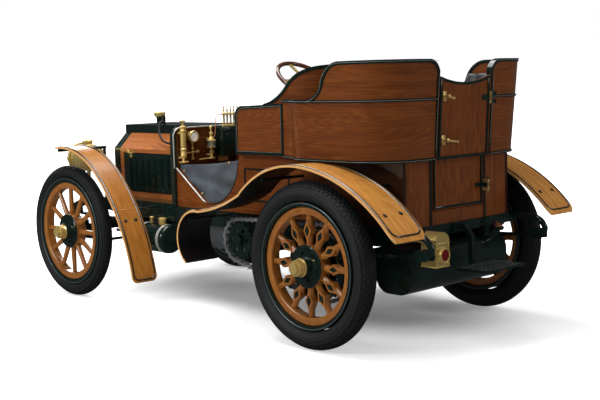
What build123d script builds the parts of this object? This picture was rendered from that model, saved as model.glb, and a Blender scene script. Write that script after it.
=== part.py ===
"""Brass era car with a wooden rear-entrance tonneau and chain drive.

X points forward, Y to the left, Z up. Stations are measured forward from the rear axle.
"""

import os
from math import asin, cos, degrees, pi, radians, sin

from build123d import *

os.makedirs("parts", exist_ok=True)

# Leading sizes of the car
WHEELBASE = 2400
BOX_HALF = 460
FRONT_OVERHANG = 550
REAR_OVERHANG = 750
LENGTH = REAR_OVERHANG + WHEELBASE + FRONT_OVERHANG
REAR_X = REAR_OVERHANG - LENGTH / 2
FRONT_X = REAR_X + WHEELBASE
WHEEL_Y = BOX_HALF + 275

# Fits between pieces
SEAT_FIT = 0.2
RUNNING_FIT = 0.3

# Wheels
FRONT_TYRE = {"radius": 455, "section": 90, "felloe": 340, "rim": 372}
REAR_TYRE = {"radius": 460, "section": 120, "felloe": 325, "rim": 348}
SPOKE_COUNT = 12
FELLOE_DEPTH = 44
FELLOE_WIDTH = 66
HUB_RADIUS = 52
HUB_FLANGE = 95
HUB_HALF = 35
FLANGE_THICK = 12
AXLE_RADIUS = 25
HUB_CAP_END = 135

# Chain drive
CHAIN_Y = WHEEL_Y - 110
CHAIN_LINKS = 56
CHAIN_HEIGHT = 26
CHAIN_WIDE = 38
CHAIN_NARROW = 26
FRONT_TEETH = 18
REAR_TEETH = 30
PITCH = 44.45
FRONT_PITCH_R = PITCH / (2 * sin(pi / FRONT_TEETH))
REAR_PITCH_R = PITCH / (2 * sin(pi / REAR_TEETH))
JACKSHAFT_S = 715
JACKSHAFT_Z = 522
CHAIN_CLEAR = 5

# Frame
RAIL_OUTER = BOX_HALF - 5
RAIL_WIDTH = 60
RAIL_TOP = 655
RAIL_DEPTH = 105
RAIL_GAUGE = 6
RAIL_REAR_S = -390
RAIL_Y = RAIL_OUTER - RAIL_WIDTH / 2
RAIL_BOTTOM = RAIL_TOP - RAIL_DEPTH

# Springs
SPRING_WIDTH = 44
LEAF_THICK = 7
LEAF_COUNT = 5
PLATE_THICK = 8
EYE_RADIUS = 18
AXLE_TOP = 487
REAR_SPRING_Y = RAIL_OUTER + 50
FRONT_SPRING_HALF = 420
REAR_SPRING_HALF = 585

# Kingpins and steering
KINGPIN_Y = WHEEL_Y - 105
KINGPIN_RADIUS = 12
BOSS_RADIUS = 26
BOSS_LOW = 410
BOSS_HIGH = 500
EAR_THICK = 17.5
STEER_ARM = 140
LINK_PIN = 8

# Body
WALL = 25
FLOOR_TOP = 685
FLOOR_THICK = 30
BOX_REAR_S = -425
BASE_TOP = 1027
BASE_THICK = 15
DASH_S = 1535
DASH_THICK = 35
DASH_HALF = BOX_HALF + 20
DASH_TOP = 1170
SEAT_HALF = BOX_HALF + 40
STRIP_S = 450
SEAT_FRONT_S = 870
TONNEAU_HALF = SEAT_HALF + 115
TONNEAU_REAR = -462
TONNEAU_CORNER = 250
TONNEAU_TOP = 1545
BELT_Z = TONNEAU_TOP - 200
FLARE = 30
BEND_END_S = 140
DOOR_HALF = 215
DOOR_GAP = 8
DOOR_BOTTOM = 735
DOOR_TOP = TONNEAU_TOP - 88

# Bonnet
BONNET_FRONT_S = WHEELBASE
BONNET_HALF = 310
BONNET_SIDE_TOP = 1005
DECK_HALF = 205
DECK_LOW = 1110
DECK_TOP = 1170
RADIATOR_THICK = 75
RADIATOR_LOW = 645

# Fenders
FENDER_THICK = 12
REAR_FENDER_IN = BOX_HALF + 90
REAR_FENDER_OUT = WHEEL_Y + 65
FRONT_FENDER_IN = WHEEL_Y - 105
FRONT_FENDER_OUT = WHEEL_Y + 85


def level(z):
    """Horizontal plane: local x is the station, local y is to the left."""
    return Plane(origin=(REAR_X, 0, z), x_dir=(1, 0, 0), z_dir=(0, 0, 1))


def side(y):
    """Upright lengthwise plane: local x is the station, local y is the height; extrudes to the right."""
    return Plane(origin=(REAR_X, y, 0), x_dir=(1, 0, 0), z_dir=(0, -1, 0))


def across(station):
    """Upright crosswise plane: local x is to the left, local y is the height; extrudes forward."""
    return Plane(origin=(REAR_X + station, 0, 0), x_dir=(0, 1, 0), z_dir=(1, 0, 0))


def place(station, y, z):
    """Point of the car from its station, side and height."""
    return (REAR_X + station, y, z)


# Wheels


def sprocket_outline(teeth, tip, root):
    """Corner points of a toothed disc, four to a tooth."""
    points = []
    for tooth in range(teeth):
        for share, radius in ((0.0, root), (0.22, tip), (0.5, tip), (0.72, root)):
            angle = 2 * pi * (tooth + share) / teeth
            points.append((radius * cos(angle), radius * sin(angle)))
    return points


def make_wheel(end, hand, station, tyre, sides):
    """Tyre, wooden wheel and wheel metal of one corner, built outboard from the wheel's mid plane."""
    name = f"{end}_{hand}"
    centre = place(station, sides * WHEEL_Y, tyre["radius"])
    cut = Plane(origin=centre, x_dir=(1, 0, 0), z_dir=(0, 0, sides))
    face = Plane(origin=centre, x_dir=(1, 0, 0), z_dir=(0, sides, 0))
    axle = Axis(centre, (0, sides, 0))
    rear = end == "rear"
    rim_width = tyre["section"] * 0.8
    spoke_root = 21 if rear else 19
    spoke_tip = 17 if rear else 14
    swell_radius = 192
    swell_half = 21

    with BuildPart() as rubber:
        with BuildSketch(cut):
            with Locations((tyre["radius"] - tyre["section"] / 2, 0)):
                Circle(tyre["section"] / 2)
            with Locations((tyre["rim"] / 2, 0)):
                Rectangle(tyre["rim"], tyre["section"], mode=Mode.SUBTRACT)
        revolve(axis=axle)
    rubber.part.label = f"tyre_{name}"
    export_step(rubber.part, f"parts/tyre_{name}.step")

    felloe_in = tyre["felloe"] - FELLOE_DEPTH
    with BuildPart(face) as wood:
        with BuildSketch(cut):
            with Locations((tyre["felloe"] - SEAT_FIT - FELLOE_DEPTH / 2, 0)):
                RectangleRounded(FELLOE_DEPTH, FELLOE_WIDTH, 9)
            with Locations(((HUB_RADIUS + SEAT_FIT + 118) / 2, 0)):
                Rectangle(118 - HUB_RADIUS - SEAT_FIT, 2 * HUB_HALF)
        revolve(axis=axle)
        length = felloe_in - 105 + 8
        with PolarLocations(105 + length / 2, SPOKE_COUNT):
            Cone(spoke_root, spoke_tip, length, rotation=(0, 90, 0))
        if rear:
            with BuildSketch(face.offset(-swell_half)):
                with PolarLocations(swell_radius, SPOKE_COUNT):
                    Polygon((-62, 0), (0, -29), (62, 0), (0, 29), align=None)
            extrude(amount=2 * swell_half)
    wood.part.label = f"wheel_{name}"
    export_step(wood.part, f"parts/wheel_{name}.step")

    flange_out = HUB_HALF + FLANGE_THICK
    with BuildPart() as metal:
        with BuildSketch(cut):
            with BuildLine():
                Polyline(
                    (AXLE_RADIUS + RUNNING_FIT, -flange_out),
                    (HUB_FLANGE, -flange_out),
                    (HUB_FLANGE, -HUB_HALF),
                    (HUB_RADIUS, -HUB_HALF),
                    (HUB_RADIUS, HUB_HALF),
                    (HUB_FLANGE, HUB_HALF),
                    (HUB_FLANGE, flange_out - 4),
                    (60, flange_out),
                    (54, 78),
                    (46, 84),
                    (44, 116),
                    (0, 120),
                    (0, 72),
                    (AXLE_RADIUS + RUNNING_FIT, 72),
                    close=True,
                )
            make_face()
            with Locations(((tyre["felloe"] + tyre["rim"]) / 2, 0)):
                Rectangle(tyre["rim"] - tyre["felloe"] - SEAT_FIT, rim_width)
        revolve(axis=axle)
        with BuildSketch(face.offset(118)):
            RegularPolygon(34, 6)
        extrude(amount=HUB_CAP_END - 118)
        if rear:
            chain_in = WHEEL_Y - CHAIN_Y
            tip = REAR_PITCH_R - CHAIN_HEIGHT / 2 - CHAIN_CLEAR
            with BuildSketch(cut):
                with Locations((183, -(chain_in + swell_half) / 2)):
                    Rectangle(12, chain_in - swell_half)
            revolve(axis=axle)
            with BuildSketch(face.offset(-chain_in - 5)):
                Polygon(*sprocket_outline(REAR_TEETH, tip, tip - 16), align=None)
                Circle(158, mode=Mode.SUBTRACT)
            extrude(amount=10)
            with BuildSketch(face.offset(swell_half)):
                with PolarLocations(swell_radius, SPOKE_COUNT):
                    Polygon((-30, 0), (0, -15), (30, 0), (0, 15), align=None)
            extrude(amount=4)
    metal.part.label = f"hub_{name}"
    export_step(metal.part, f"parts/hub_{name}.step")


for hand, sides in (("left", 1), ("right", -1)):
    make_wheel("front", hand, WHEELBASE, FRONT_TYRE, sides)
    make_wheel("rear", hand, 0, REAR_TYRE, sides)

# Frame

with BuildPart() as frame_rails:
    with BuildSketch(side(RAIL_OUTER)):
        with BuildLine():
            rail_low = Polyline(
                (RAIL_REAR_S, RAIL_TOP),
                (RAIL_REAR_S, RAIL_BOTTOM + 20),
                (RAIL_REAR_S + 160, RAIL_BOTTOM),
                (WHEELBASE - 250, RAIL_BOTTOM),
                (WHEELBASE + 60, RAIL_BOTTOM + 35),
            )
            dumb_low = TangentArc(
                rail_low @ 1, (WHEELBASE + FRONT_SPRING_HALF, 560), tangent=rail_low % 1
            )
            tip_low = Line(dumb_low @ 1, (WHEELBASE + FRONT_SPRING_HALF + 35, 548))
            tip_up = Line(tip_low @ 1, (WHEELBASE + FRONT_SPRING_HALF + 55, 575))
            dumb_top = TangentArc(
                (WHEELBASE + 120, RAIL_TOP), tip_up @ 1, tangent=(1, 0)
            )
            Line((RAIL_REAR_S, RAIL_TOP), (WHEELBASE + 120, RAIL_TOP))
        make_face()
    extrude(amount=RAIL_WIDTH)
    with BuildSketch(side(RAIL_OUTER - RAIL_GAUGE)):
        with Locations((0, RAIL_BOTTOM + RAIL_DEPTH / 2)):
            with Locations(((RAIL_REAR_S + 160 + WHEELBASE - 260) / 2, 0)):
                Rectangle(
                    WHEELBASE - 260 - RAIL_REAR_S - 160, RAIL_DEPTH - 2 * RAIL_GAUGE
                )
    extrude(amount=RAIL_WIDTH, mode=Mode.SUBTRACT)
    mirror(about=Plane.XZ)
frame_rails.part.label = "frame_rails"
export_step(frame_rails.part, "parts/frame_rails.step")

# Cross members between the rails: station of the rear face, length fore and aft, low and high edge
CROSS_MEMBERS = (
    (330, 60, 562, 640),
    (1020, 60, 562, 640),
    (1590, 60, 562, 640),
    (BONNET_FRONT_S, RADIATOR_THICK, 600, RADIATOR_LOW),
)
SCROLL_BAR = 17
REAR_MEMBER = 40
with BuildPart() as cross_members:
    for station, long, low, high in CROSS_MEMBERS:
        half = RAIL_OUTER - RAIL_GAUGE if station < BONNET_FRONT_S else RAIL_OUTER - RAIL_WIDTH
        with BuildSketch(across(station)):
            with Locations((0, (low + high) / 2)):
                Rectangle(2 * half, high - low)
        extrude(amount=long)
    with BuildSketch(across(RAIL_REAR_S - REAR_MEMBER)):
        with Locations((0, 628)):
            Rectangle(2 * (REAR_SPRING_Y + 25), 54)
    extrude(amount=REAR_MEMBER)
cross_members.part.label = "frame_cross_members"
export_step(cross_members.part, "parts/frame_cross_members.step")

# Springs: leaves shorten towards the axle, with eyes on the longest


def make_spring(station, y, half, rise):
    """One spring of stacked leaves on both sides of the car."""
    bend = (half**2 + rise**2) / (2 * rise)
    centre = (station, AXLE_TOP + bend)
    for leaf in range(LEAF_COUNT):
        reach = half * (1 - 0.17 * (LEAF_COUNT - 1 - leaf))
        radius = bend - LEAF_THICK * leaf
        spread = degrees(asin(reach / bend))
        with BuildSketch(side(y + SPRING_WIDTH / 2)) as strip:
            with BuildLine():
                low = CenterArc(centre, radius, 270 - spread, 2 * spread)
                top = CenterArc(centre, radius - LEAF_THICK, 270 - spread, 2 * spread)
                Line(low @ 0, top @ 0)
                Line(low @ 1, top @ 1)
            make_face()
        extrude(strip.sketch, amount=SPRING_WIDTH)
    eye_z = AXLE_TOP + rise + LEAF_THICK * (LEAF_COUNT - 0.5)
    for end in (-1, 1):
        with BuildSketch(side(y + SPRING_WIDTH / 2)) as eye:
            with Locations((station + end * half, eye_z)):
                Circle(EYE_RADIUS)
        extrude(eye.sketch, amount=SPRING_WIDTH)


FRONT_RISE = 8
REAR_RISE = 20
with BuildPart() as leaf_springs:
    make_spring(WHEELBASE, RAIL_Y, FRONT_SPRING_HALF, FRONT_RISE)
    make_spring(0, REAR_SPRING_Y, REAR_SPRING_HALF, REAR_RISE)
    mirror(about=Plane.XZ)
leaf_springs.part.label = "leaf_springs"
export_step(leaf_springs.part, "parts/leaf_springs.step")

FRONT_EYE_Z = AXLE_TOP + FRONT_RISE + LEAF_THICK * (LEAF_COUNT - 0.5)
REAR_EYE_Z = AXLE_TOP + REAR_RISE + LEAF_THICK * (LEAF_COUNT - 0.5)
PLATE_Y = SPRING_WIDTH / 2 + PLATE_THICK
SCROLL_END_S = -REAR_SPRING_HALF - 44
SCROLL_END_Z = 552
FRONT_EYES = (WHEELBASE - FRONT_SPRING_HALF, WHEELBASE + FRONT_SPRING_HALF)
with BuildPart() as spring_irons:
    # Shackle plates: station of the eye, side, first and last station, low and high edge
    for y, start, end, low, high in (
        (RAIL_Y, FRONT_EYES[0] - 20, FRONT_EYES[0] + 20, FRONT_EYE_Z - 22, 570),
        (RAIL_Y, FRONT_EYES[1] - 20, FRONT_EYES[1] + 20, FRONT_EYE_Z - 22, 570),
        (REAR_SPRING_Y, REAR_SPRING_HALF - 20, REAR_SPRING_HALF + 20, REAR_EYE_Z - 22, 580),
        (REAR_SPRING_Y, SCROLL_END_S - 20, -REAR_SPRING_HALF + 20, REAR_EYE_Z - 22, REAR_EYE_Z + 34),
    ):
        for cheek in (y + PLATE_Y, y - SPRING_WIDTH / 2):
            with BuildSketch(side(cheek)):
                with Locations(((start + end) / 2, (low + high) / 2)):
                    RectangleRounded(end - start, high - low, 15)
            extrude(amount=PLATE_THICK)
    with BuildSketch(side(REAR_SPRING_Y + PLATE_Y)):
        with Locations((REAR_SPRING_HALF, 605)):
            Rectangle(50, 60)
    extrude(amount=REAR_SPRING_Y + PLATE_Y - RAIL_OUTER)
    with BuildSketch(side(REAR_SPRING_Y + PLATE_Y)):
        with Locations((SCROLL_END_S, SCROLL_END_Z)):
            Circle(9)
    extrude(amount=2 * PLATE_Y)
    with BuildLine(side(REAR_SPRING_Y)) as scroll:
        reach = Line((RAIL_REAR_S - REAR_MEMBER, 638), (-570, 638))
        hook = TangentArc(reach @ 1, (-650, 585), tangent=reach % 1)
        TangentArc(hook @ 1, (SCROLL_END_S, SCROLL_END_Z), tangent=hook % 1)
    with BuildSketch(Plane(origin=scroll.line @ 0, z_dir=scroll.line % 0)):
        Circle(SCROLL_BAR)
    sweep(path=scroll.line)
    add(frame_rails.part, mode=Mode.SUBTRACT)
    mirror(about=Plane.XZ)
spring_irons.part.label = "spring_irons"
export_step(spring_irons.part, "parts/spring_irons.step")

# Axles

with BuildPart() as front_axle:
    with BuildSketch(across(WHEELBASE - 22)):
        with BuildLine():
            Polyline(
                (KINGPIN_Y - 20, AXLE_TOP),
                (RAIL_Y - 95, AXLE_TOP),
                (RAIL_Y - 165, AXLE_TOP - 60),
                (0, AXLE_TOP - 60),
                (0, AXLE_TOP - 110),
                (RAIL_Y - 145, AXLE_TOP - 110),
                (RAIL_Y - 75, AXLE_TOP - 50),
                (KINGPIN_Y - 20, AXLE_TOP - 50),
                close=True,
            )
        make_face()
        mirror(about=Plane.YZ)
    extrude(amount=44)
    with BuildSketch(level(BOSS_LOW)):
        with Locations((WHEELBASE, KINGPIN_Y), (WHEELBASE, -KINGPIN_Y)):
            Circle(BOSS_RADIUS)
    extrude(amount=BOSS_HIGH - BOSS_LOW)
    with BuildSketch(level(BOSS_LOW)):
        with Locations((WHEELBASE, KINGPIN_Y), (WHEELBASE, -KINGPIN_Y)):
            Circle(KINGPIN_RADIUS + RUNNING_FIT)
    extrude(amount=BOSS_HIGH - BOSS_LOW, mode=Mode.SUBTRACT)
front_axle.part.label = "front_axle"
export_step(front_axle.part, "parts/front_axle.step")

with BuildPart() as rear_axle:
    with BuildSketch(across(-30)):
        with Locations((0, AXLE_TOP - 30)):
            Rectangle(2 * (WHEEL_Y - 145), 60)
    extrude(amount=60)
    axle_z = REAR_TYRE["radius"]
    shoulder = WHEEL_Y - HUB_HALF - FLANGE_THICK - 4
    for reach, radius in ((shoulder, AXLE_RADIUS + 2), (WHEEL_Y + 68, AXLE_RADIUS)):
        with BuildSketch(side(reach)):
            with Locations((0, axle_z)):
                Circle(radius)
        extrude(amount=2 * reach)
rear_axle.part.label = "rear_axle"
export_step(rear_axle.part, "parts/rear_axle.step")


def make_knuckle(hand, sides):
    """Forked knuckle with kingpin, stub axle and steering arm."""
    web_in = KINGPIN_Y + BOSS_RADIUS + 4
    web_out = WHEEL_Y - HUB_HALF - FLANGE_THICK - 6
    low = BOSS_LOW - 0.5
    high = BOSS_HIGH + 0.5
    with BuildPart() as knuckle:
        for ear_z in (low - EAR_THICK, high):
            with BuildSketch(level(ear_z)):
                with Locations((WHEELBASE, sides * KINGPIN_Y)):
                    Circle(BOSS_RADIUS)
                with Locations((WHEELBASE, sides * (KINGPIN_Y + web_out) / 2)):
                    Rectangle(48, web_out - KINGPIN_Y)
            extrude(amount=EAR_THICK)
        with BuildSketch(level(low - EAR_THICK)):
            with Locations((WHEELBASE, sides * (web_in + web_out) / 2)):
                Rectangle(48, web_out - web_in)
        extrude(amount=high - low + 2 * EAR_THICK)
        with BuildSketch(level(low - EAR_THICK)):
            with Locations((WHEELBASE, sides * KINGPIN_Y)):
                Circle(KINGPIN_RADIUS)
        extrude(amount=high - low + 2 * EAR_THICK)
        stub = Plane(
            origin=place(WHEELBASE, sides * web_in, FRONT_TYRE["radius"]), z_dir=(0, sides, 0)
        )
        with BuildSketch(stub):
            Circle(AXLE_RADIUS)
        extrude(amount=WHEEL_Y + 68 - web_in)
        with BuildSketch(level(low - EAR_THICK)):
            with Locations((WHEELBASE - STEER_ARM / 2, sides * KINGPIN_Y)):
                Rectangle(STEER_ARM, 26)
            with Locations((WHEELBASE - STEER_ARM, sides * KINGPIN_Y)):
                Circle(18)
        extrude(amount=EAR_THICK)
        with BuildSketch(level(low - EAR_THICK - 24)):
            with Locations((WHEELBASE - STEER_ARM, sides * KINGPIN_Y)):
                Circle(LINK_PIN)
        extrude(amount=24)
    knuckle.part.label = f"knuckle_{hand}"
    export_step(knuckle.part, f"parts/knuckle_{hand}.step")


make_knuckle("left", 1)
make_knuckle("right", -1)

with BuildPart() as tie_rod:
    rod_z = BOSS_LOW - 0.5 - EAR_THICK - 12.5
    with BuildSketch(level(rod_z - 11)):
        with Locations((WHEELBASE - STEER_ARM, KINGPIN_Y), (WHEELBASE - STEER_ARM, -KINGPIN_Y)):
            Circle(18)
    extrude(amount=22)
    with BuildSketch(side(KINGPIN_Y - 12)):
        with Locations((WHEELBASE - STEER_ARM, rod_z)):
            Circle(10)
    extrude(amount=2 * KINGPIN_Y - 24)
    with BuildSketch(level(rod_z - 11)):
        with Locations((WHEELBASE - STEER_ARM, KINGPIN_Y), (WHEELBASE - STEER_ARM, -KINGPIN_Y)):
            Circle(LINK_PIN + RUNNING_FIT)
    extrude(amount=22, mode=Mode.SUBTRACT)
tie_rod.part.label = "tie_rod"
export_step(tie_rod.part, "parts/tie_rod.step")

# Gearbox, jackshaft and chains

with BuildPart() as transmission:
    with BuildSketch(across(420)):
        with Locations((0, 535)):
            RectangleRounded(420, 230, 40)
    extrude(amount=560)
    # Shaft and its housing: radius, outer end, inner end
    for radius, start, end in ((24, CHAIN_Y + 14, 200), (44, 300, 200)):
        with BuildSketch(side(start)):
            with Locations((JACKSHAFT_S, JACKSHAFT_Z)):
                Circle(radius)
        extrude(amount=start - end)
    # Bearing block bolted up under the rail
    with BuildSketch(side(RAIL_OUTER - 3)):
        with Locations((JACKSHAFT_S, RAIL_BOTTOM - 28)):
            Rectangle(90, 56)
    extrude(amount=RAIL_WIDTH - 6)
    tip = FRONT_PITCH_R - CHAIN_HEIGHT / 2 - 0.3
    inner_face = place(JACKSHAFT_S, CHAIN_Y - 5, JACKSHAFT_Z)
    with BuildSketch(Plane(origin=inner_face, x_dir=(1, 0, 0), z_dir=(0, 1, 0))):
        Polygon(*sprocket_outline(FRONT_TEETH, tip, tip - 14), align=None)
        with PolarLocations(66, 6):
            Circle(16, mode=Mode.SUBTRACT)
    extrude(amount=10)
    with BuildSketch(side(CHAIN_Y + 30)):
        with Locations((JACKSHAFT_S, JACKSHAFT_Z)):
            Circle(36)
    extrude(amount=44)
    mirror(about=Plane.XZ)
transmission.part.label = "transmission"
export_step(transmission.part, "parts/transmission.step")


def chain_loop():
    """Pitch line of a chain as tangents and arcs, run once round from the upper front tangent point."""
    rear_z = REAR_TYRE["radius"]
    run = (JACKSHAFT_S**2 + (JACKSHAFT_Z - rear_z) ** 2) ** 0.5
    slope = degrees(asin((JACKSHAFT_Z - rear_z) / run))
    lean = degrees(asin((REAR_PITCH_R - FRONT_PITCH_R) / run))
    front = (JACKSHAFT_S, JACKSHAFT_Z)
    with BuildLine(side(CHAIN_Y)) as loop:
        nose = CenterArc(front, FRONT_PITCH_R, slope + 90 - lean, -180 + 2 * lean)
        tail = CenterArc((0, rear_z), REAR_PITCH_R, slope - 90 + lean, -180 - 2 * lean)
        Line(nose @ 1, tail @ 0)
        Line(tail @ 1, nose @ 0)
    return loop.wires()[0]


with BuildPart() as drive_chains:
    loop_wire = chain_loop()
    link_length = loop_wire.length / CHAIN_LINKS
    for start, width in ((0, CHAIN_WIDE), (1, CHAIN_NARROW)):
        spots = []
        for link in range(start, CHAIN_LINKS, 2):
            share = (link + 0.5) / CHAIN_LINKS
            spots.append(
                Plane(
                    origin=loop_wire.position_at(share),
                    x_dir=loop_wire.tangent_at(share),
                    z_dir=(0, 1, 0),
                ).location
            )
        with Locations(*spots):
            Box(link_length + 6, CHAIN_HEIGHT, width)
    mirror(about=Plane.XZ)
drive_chains.part.label = "drive_chains"
export_step(drive_chains.part, "parts/drive_chains.step")

TRAY_FRONT_S = WHEELBASE - 200
TRAY_REAR_S = 990
TRAY_LOW = 360
with BuildPart() as undertray:
    with BuildSketch(across(TRAY_REAR_S)):
        with BuildLine() as trough:
            Polyline(
                (RAIL_OUTER - RAIL_WIDTH, RAIL_BOTTOM + 6),
                (RAIL_OUTER - RAIL_WIDTH, RAIL_BOTTOM - 30),
                (RAIL_OUTER - 125, 430),
                (RAIL_OUTER - 215, TRAY_LOW),
                (215 - RAIL_OUTER, TRAY_LOW),
                (125 - RAIL_OUTER, 430),
                (RAIL_WIDTH - RAIL_OUTER, RAIL_BOTTOM - 30),
                (RAIL_WIDTH - RAIL_OUTER, RAIL_BOTTOM + 6),
            )
            offset(amount=5, side=Side.RIGHT)
        make_face()
    extrude(amount=TRAY_FRONT_S - TRAY_REAR_S)
undertray.part.label = "undertray"
export_step(undertray.part, "parts/undertray.step")

# Front end


def bonnet_outline(inset, low):
    """Eight-sided section of radiator and bonnet."""
    half = BONNET_HALF - inset
    deck = DECK_HALF - inset * 0.4
    return [
        (half, low),
        (half, BONNET_SIDE_TOP - inset * 0.4),
        (deck, DECK_LOW),
        (deck, DECK_TOP - inset),
        (-deck, DECK_TOP - inset),
        (-deck, DECK_LOW),
        (-half, BONNET_SIDE_TOP - inset * 0.4),
        (-half, low),
    ]


RADIATOR_RIM = 40
with BuildPart() as radiator_shell:
    with BuildSketch(across(BONNET_FRONT_S)):
        Polygon(*bonnet_outline(0, RADIATOR_LOW), align=None)
        Polygon(*bonnet_outline(RADIATOR_RIM, RADIATOR_LOW + RADIATOR_RIM), align=None, mode=Mode.SUBTRACT)
    extrude(amount=RADIATOR_THICK)
radiator_shell.part.label = "radiator_shell"
export_step(radiator_shell.part, "parts/radiator_shell.step")

CORE_BARS_UP = 9
CORE_BARS_ACROSS = 8
with BuildPart() as radiator_core:
    core_outline = bonnet_outline(RADIATOR_RIM, RADIATOR_LOW + RADIATOR_RIM)
    with BuildSketch(across(BONNET_FRONT_S + 12)):
        Polygon(*core_outline, align=None)
    extrude(amount=RADIATOR_THICK - 30)
    with BuildSketch(across(BONNET_FRONT_S + RADIATOR_THICK - 18)):
        with GridLocations(54, 1, CORE_BARS_UP, 1):
            with Locations((0, 900)):
                Rectangle(8, 700)
        for row in range(CORE_BARS_ACROSS):
            with Locations((0, RADIATOR_LOW + 88 + 54 * row)):
                Rectangle(2 * BONNET_HALF, 8)
        Polygon(*core_outline, align=None, mode=Mode.INTERSECT)
    extrude(amount=12)
radiator_core.part.label = "radiator_core"
export_step(radiator_core.part, "parts/radiator_core.step")

DASH_FRONT_S = DASH_S + DASH_THICK
FLAP_LOW = 704
FLAP_HIGH = 972
FLAP_REAR_S = DASH_FRONT_S + 45
FLAP_FRONT_S = BONNET_FRONT_S - 45
FLAP_THICK = 8
FLAP_GAP = 5
RAIL_WOOD = 28
with BuildPart() as bonnet_frame:
    with BuildSketch(side(BONNET_HALF)):
        with Locations(((DASH_FRONT_S + BONNET_FRONT_S) / 2, (RAIL_TOP + 10 + BONNET_SIDE_TOP) / 2)):
            Rectangle(BONNET_FRONT_S - DASH_FRONT_S, BONNET_SIDE_TOP - RAIL_TOP - 10)
        with Locations(((FLAP_REAR_S + FLAP_FRONT_S) / 2, (FLAP_LOW + FLAP_HIGH) / 2)):
            Rectangle(
                FLAP_FRONT_S - FLAP_REAR_S + 2 * FLAP_GAP,
                FLAP_HIGH - FLAP_LOW + 2 * FLAP_GAP,
                mode=Mode.SUBTRACT,
            )
    extrude(amount=RAIL_WOOD)
    with BuildSketch(across(DASH_FRONT_S)):
        Polygon(
            (BONNET_HALF, BONNET_SIDE_TOP),
            (DECK_HALF, DECK_LOW),
            (DECK_HALF - 26, DECK_LOW),
            (BONNET_HALF - RAIL_WOOD, BONNET_SIDE_TOP),
            align=None,
        )
    extrude(amount=BONNET_FRONT_S - DASH_FRONT_S)
    mirror(about=Plane.XZ)
bonnet_frame.part.label = "bonnet_frame"
export_step(bonnet_frame.part, "parts/bonnet_frame.step")

FILLER_S = BONNET_FRONT_S - 70
with BuildPart() as bonnet_deck:
    with BuildSketch(across(DASH_FRONT_S)):
        with Locations((0, (DECK_LOW + DECK_TOP) / 2)):
            Rectangle(2 * DECK_HALF, DECK_TOP - DECK_LOW)
    extrude(amount=BONNET_FRONT_S - DASH_FRONT_S)
    with BuildSketch(level(DECK_TOP)):
        with Locations((FILLER_S, 0)):
            Circle(24)
    extrude(amount=50)
    with BuildSketch(level(DECK_TOP + 50)):
        with Locations((FILLER_S, 0)):
            Circle(40)
    extrude(amount=30)
    with BuildSketch(level(DECK_TOP)):
        with Locations((FILLER_S - 130, 60)):
            Circle(13)
    extrude(amount=62)
bonnet_deck.part.label = "bonnet_deck"
export_step(bonnet_deck.part, "parts/bonnet_deck.step")

LOUVRES = 9
LOUVRE_OUT = 11
FLAP_PIN = 6
FLAP_PIN_Y = BONNET_HALF + 7
FLAP_PIN_Z = FLAP_HIGH + 2.5
FLAP_HINGES = (FLAP_REAR_S + 90, FLAP_FRONT_S - 90)
KNUCKLE_GAP = 0.4


def make_flap(hand, sides):
    """Louvred side flap hung on its top edge."""
    mid_s = (FLAP_REAR_S + FLAP_FRONT_S) / 2
    mid_z = (FLAP_LOW + FLAP_HIGH) / 2
    outer = Plane(
        origin=place(mid_s, sides * BONNET_HALF, mid_z), x_dir=(1, 0, 0), z_dir=(0, sides, 0)
    )
    with BuildPart() as flap:
        with BuildSketch(outer.offset(-FLAP_THICK)):
            Rectangle(FLAP_FRONT_S - FLAP_REAR_S, FLAP_HIGH - FLAP_LOW)
        extrude(amount=FLAP_THICK)
        spacing = (FLAP_FRONT_S - FLAP_REAR_S - 60) / LOUVRES
        with BuildSketch(level(mid_z - 100)):
            for louvre in range(LOUVRES):
                with Locations((mid_s + spacing * (louvre - (LOUVRES - 1) / 2), sides * BONNET_HALF)):
                    Polygon((-16, -sides), (-12, sides * LOUVRE_OUT), (16, -sides), align=None)
        extrude(amount=200)
        for station in FLAP_HINGES:
            with BuildSketch(across(station - 15)):
                with Locations((sides * FLAP_PIN_Y, FLAP_PIN_Z)):
                    Circle(FLAP_PIN)
                with Locations((sides * (BONNET_HALF + 2), FLAP_PIN_Z - 16)):
                    Rectangle(4, 32)
            extrude(amount=30)
    flap.part.label = f"bonnet_flap_{hand}"
    export_step(flap.part, f"parts/bonnet_flap_{hand}.step")


make_flap("left", 1)
make_flap("right", -1)

with BuildPart() as bonnet_sills:
    with BuildSketch(level(RAIL_TOP)):
        with Locations(((DASH_FRONT_S + BONNET_FRONT_S) / 2, (BONNET_HALF - RAIL_WOOD + RAIL_OUTER) / 2)):
            Rectangle(BONNET_FRONT_S - DASH_FRONT_S, RAIL_OUTER - BONNET_HALF + RAIL_WOOD)
    extrude(amount=10)
    mirror(about=Plane.XZ)
bonnet_sills.part.label = "bonnet_sills"
export_step(bonnet_sills.part, "parts/bonnet_sills.step")

with BuildPart() as engine:
    with BuildSketch(level(450)):
        with Locations((1990, 0)):
            RectangleRounded(620, 300, 40)
    extrude(amount=230)
    with BuildSketch(level(680)):
        with Locations((1850, 0), (2130, 0)):
            RectangleRounded(240, 190, 60)
    extrude(amount=300)
    # Bearers that reach into the rails
    for station in (1750, 2080):
        with BuildSketch(across(station)):
            with Locations((0, 600)):
                Rectangle(2 * (RAIL_OUTER - RAIL_GAUGE), 60)
        extrude(amount=40)
engine.part.label = "engine"
export_step(engine.part, "parts/engine.step")

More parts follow.
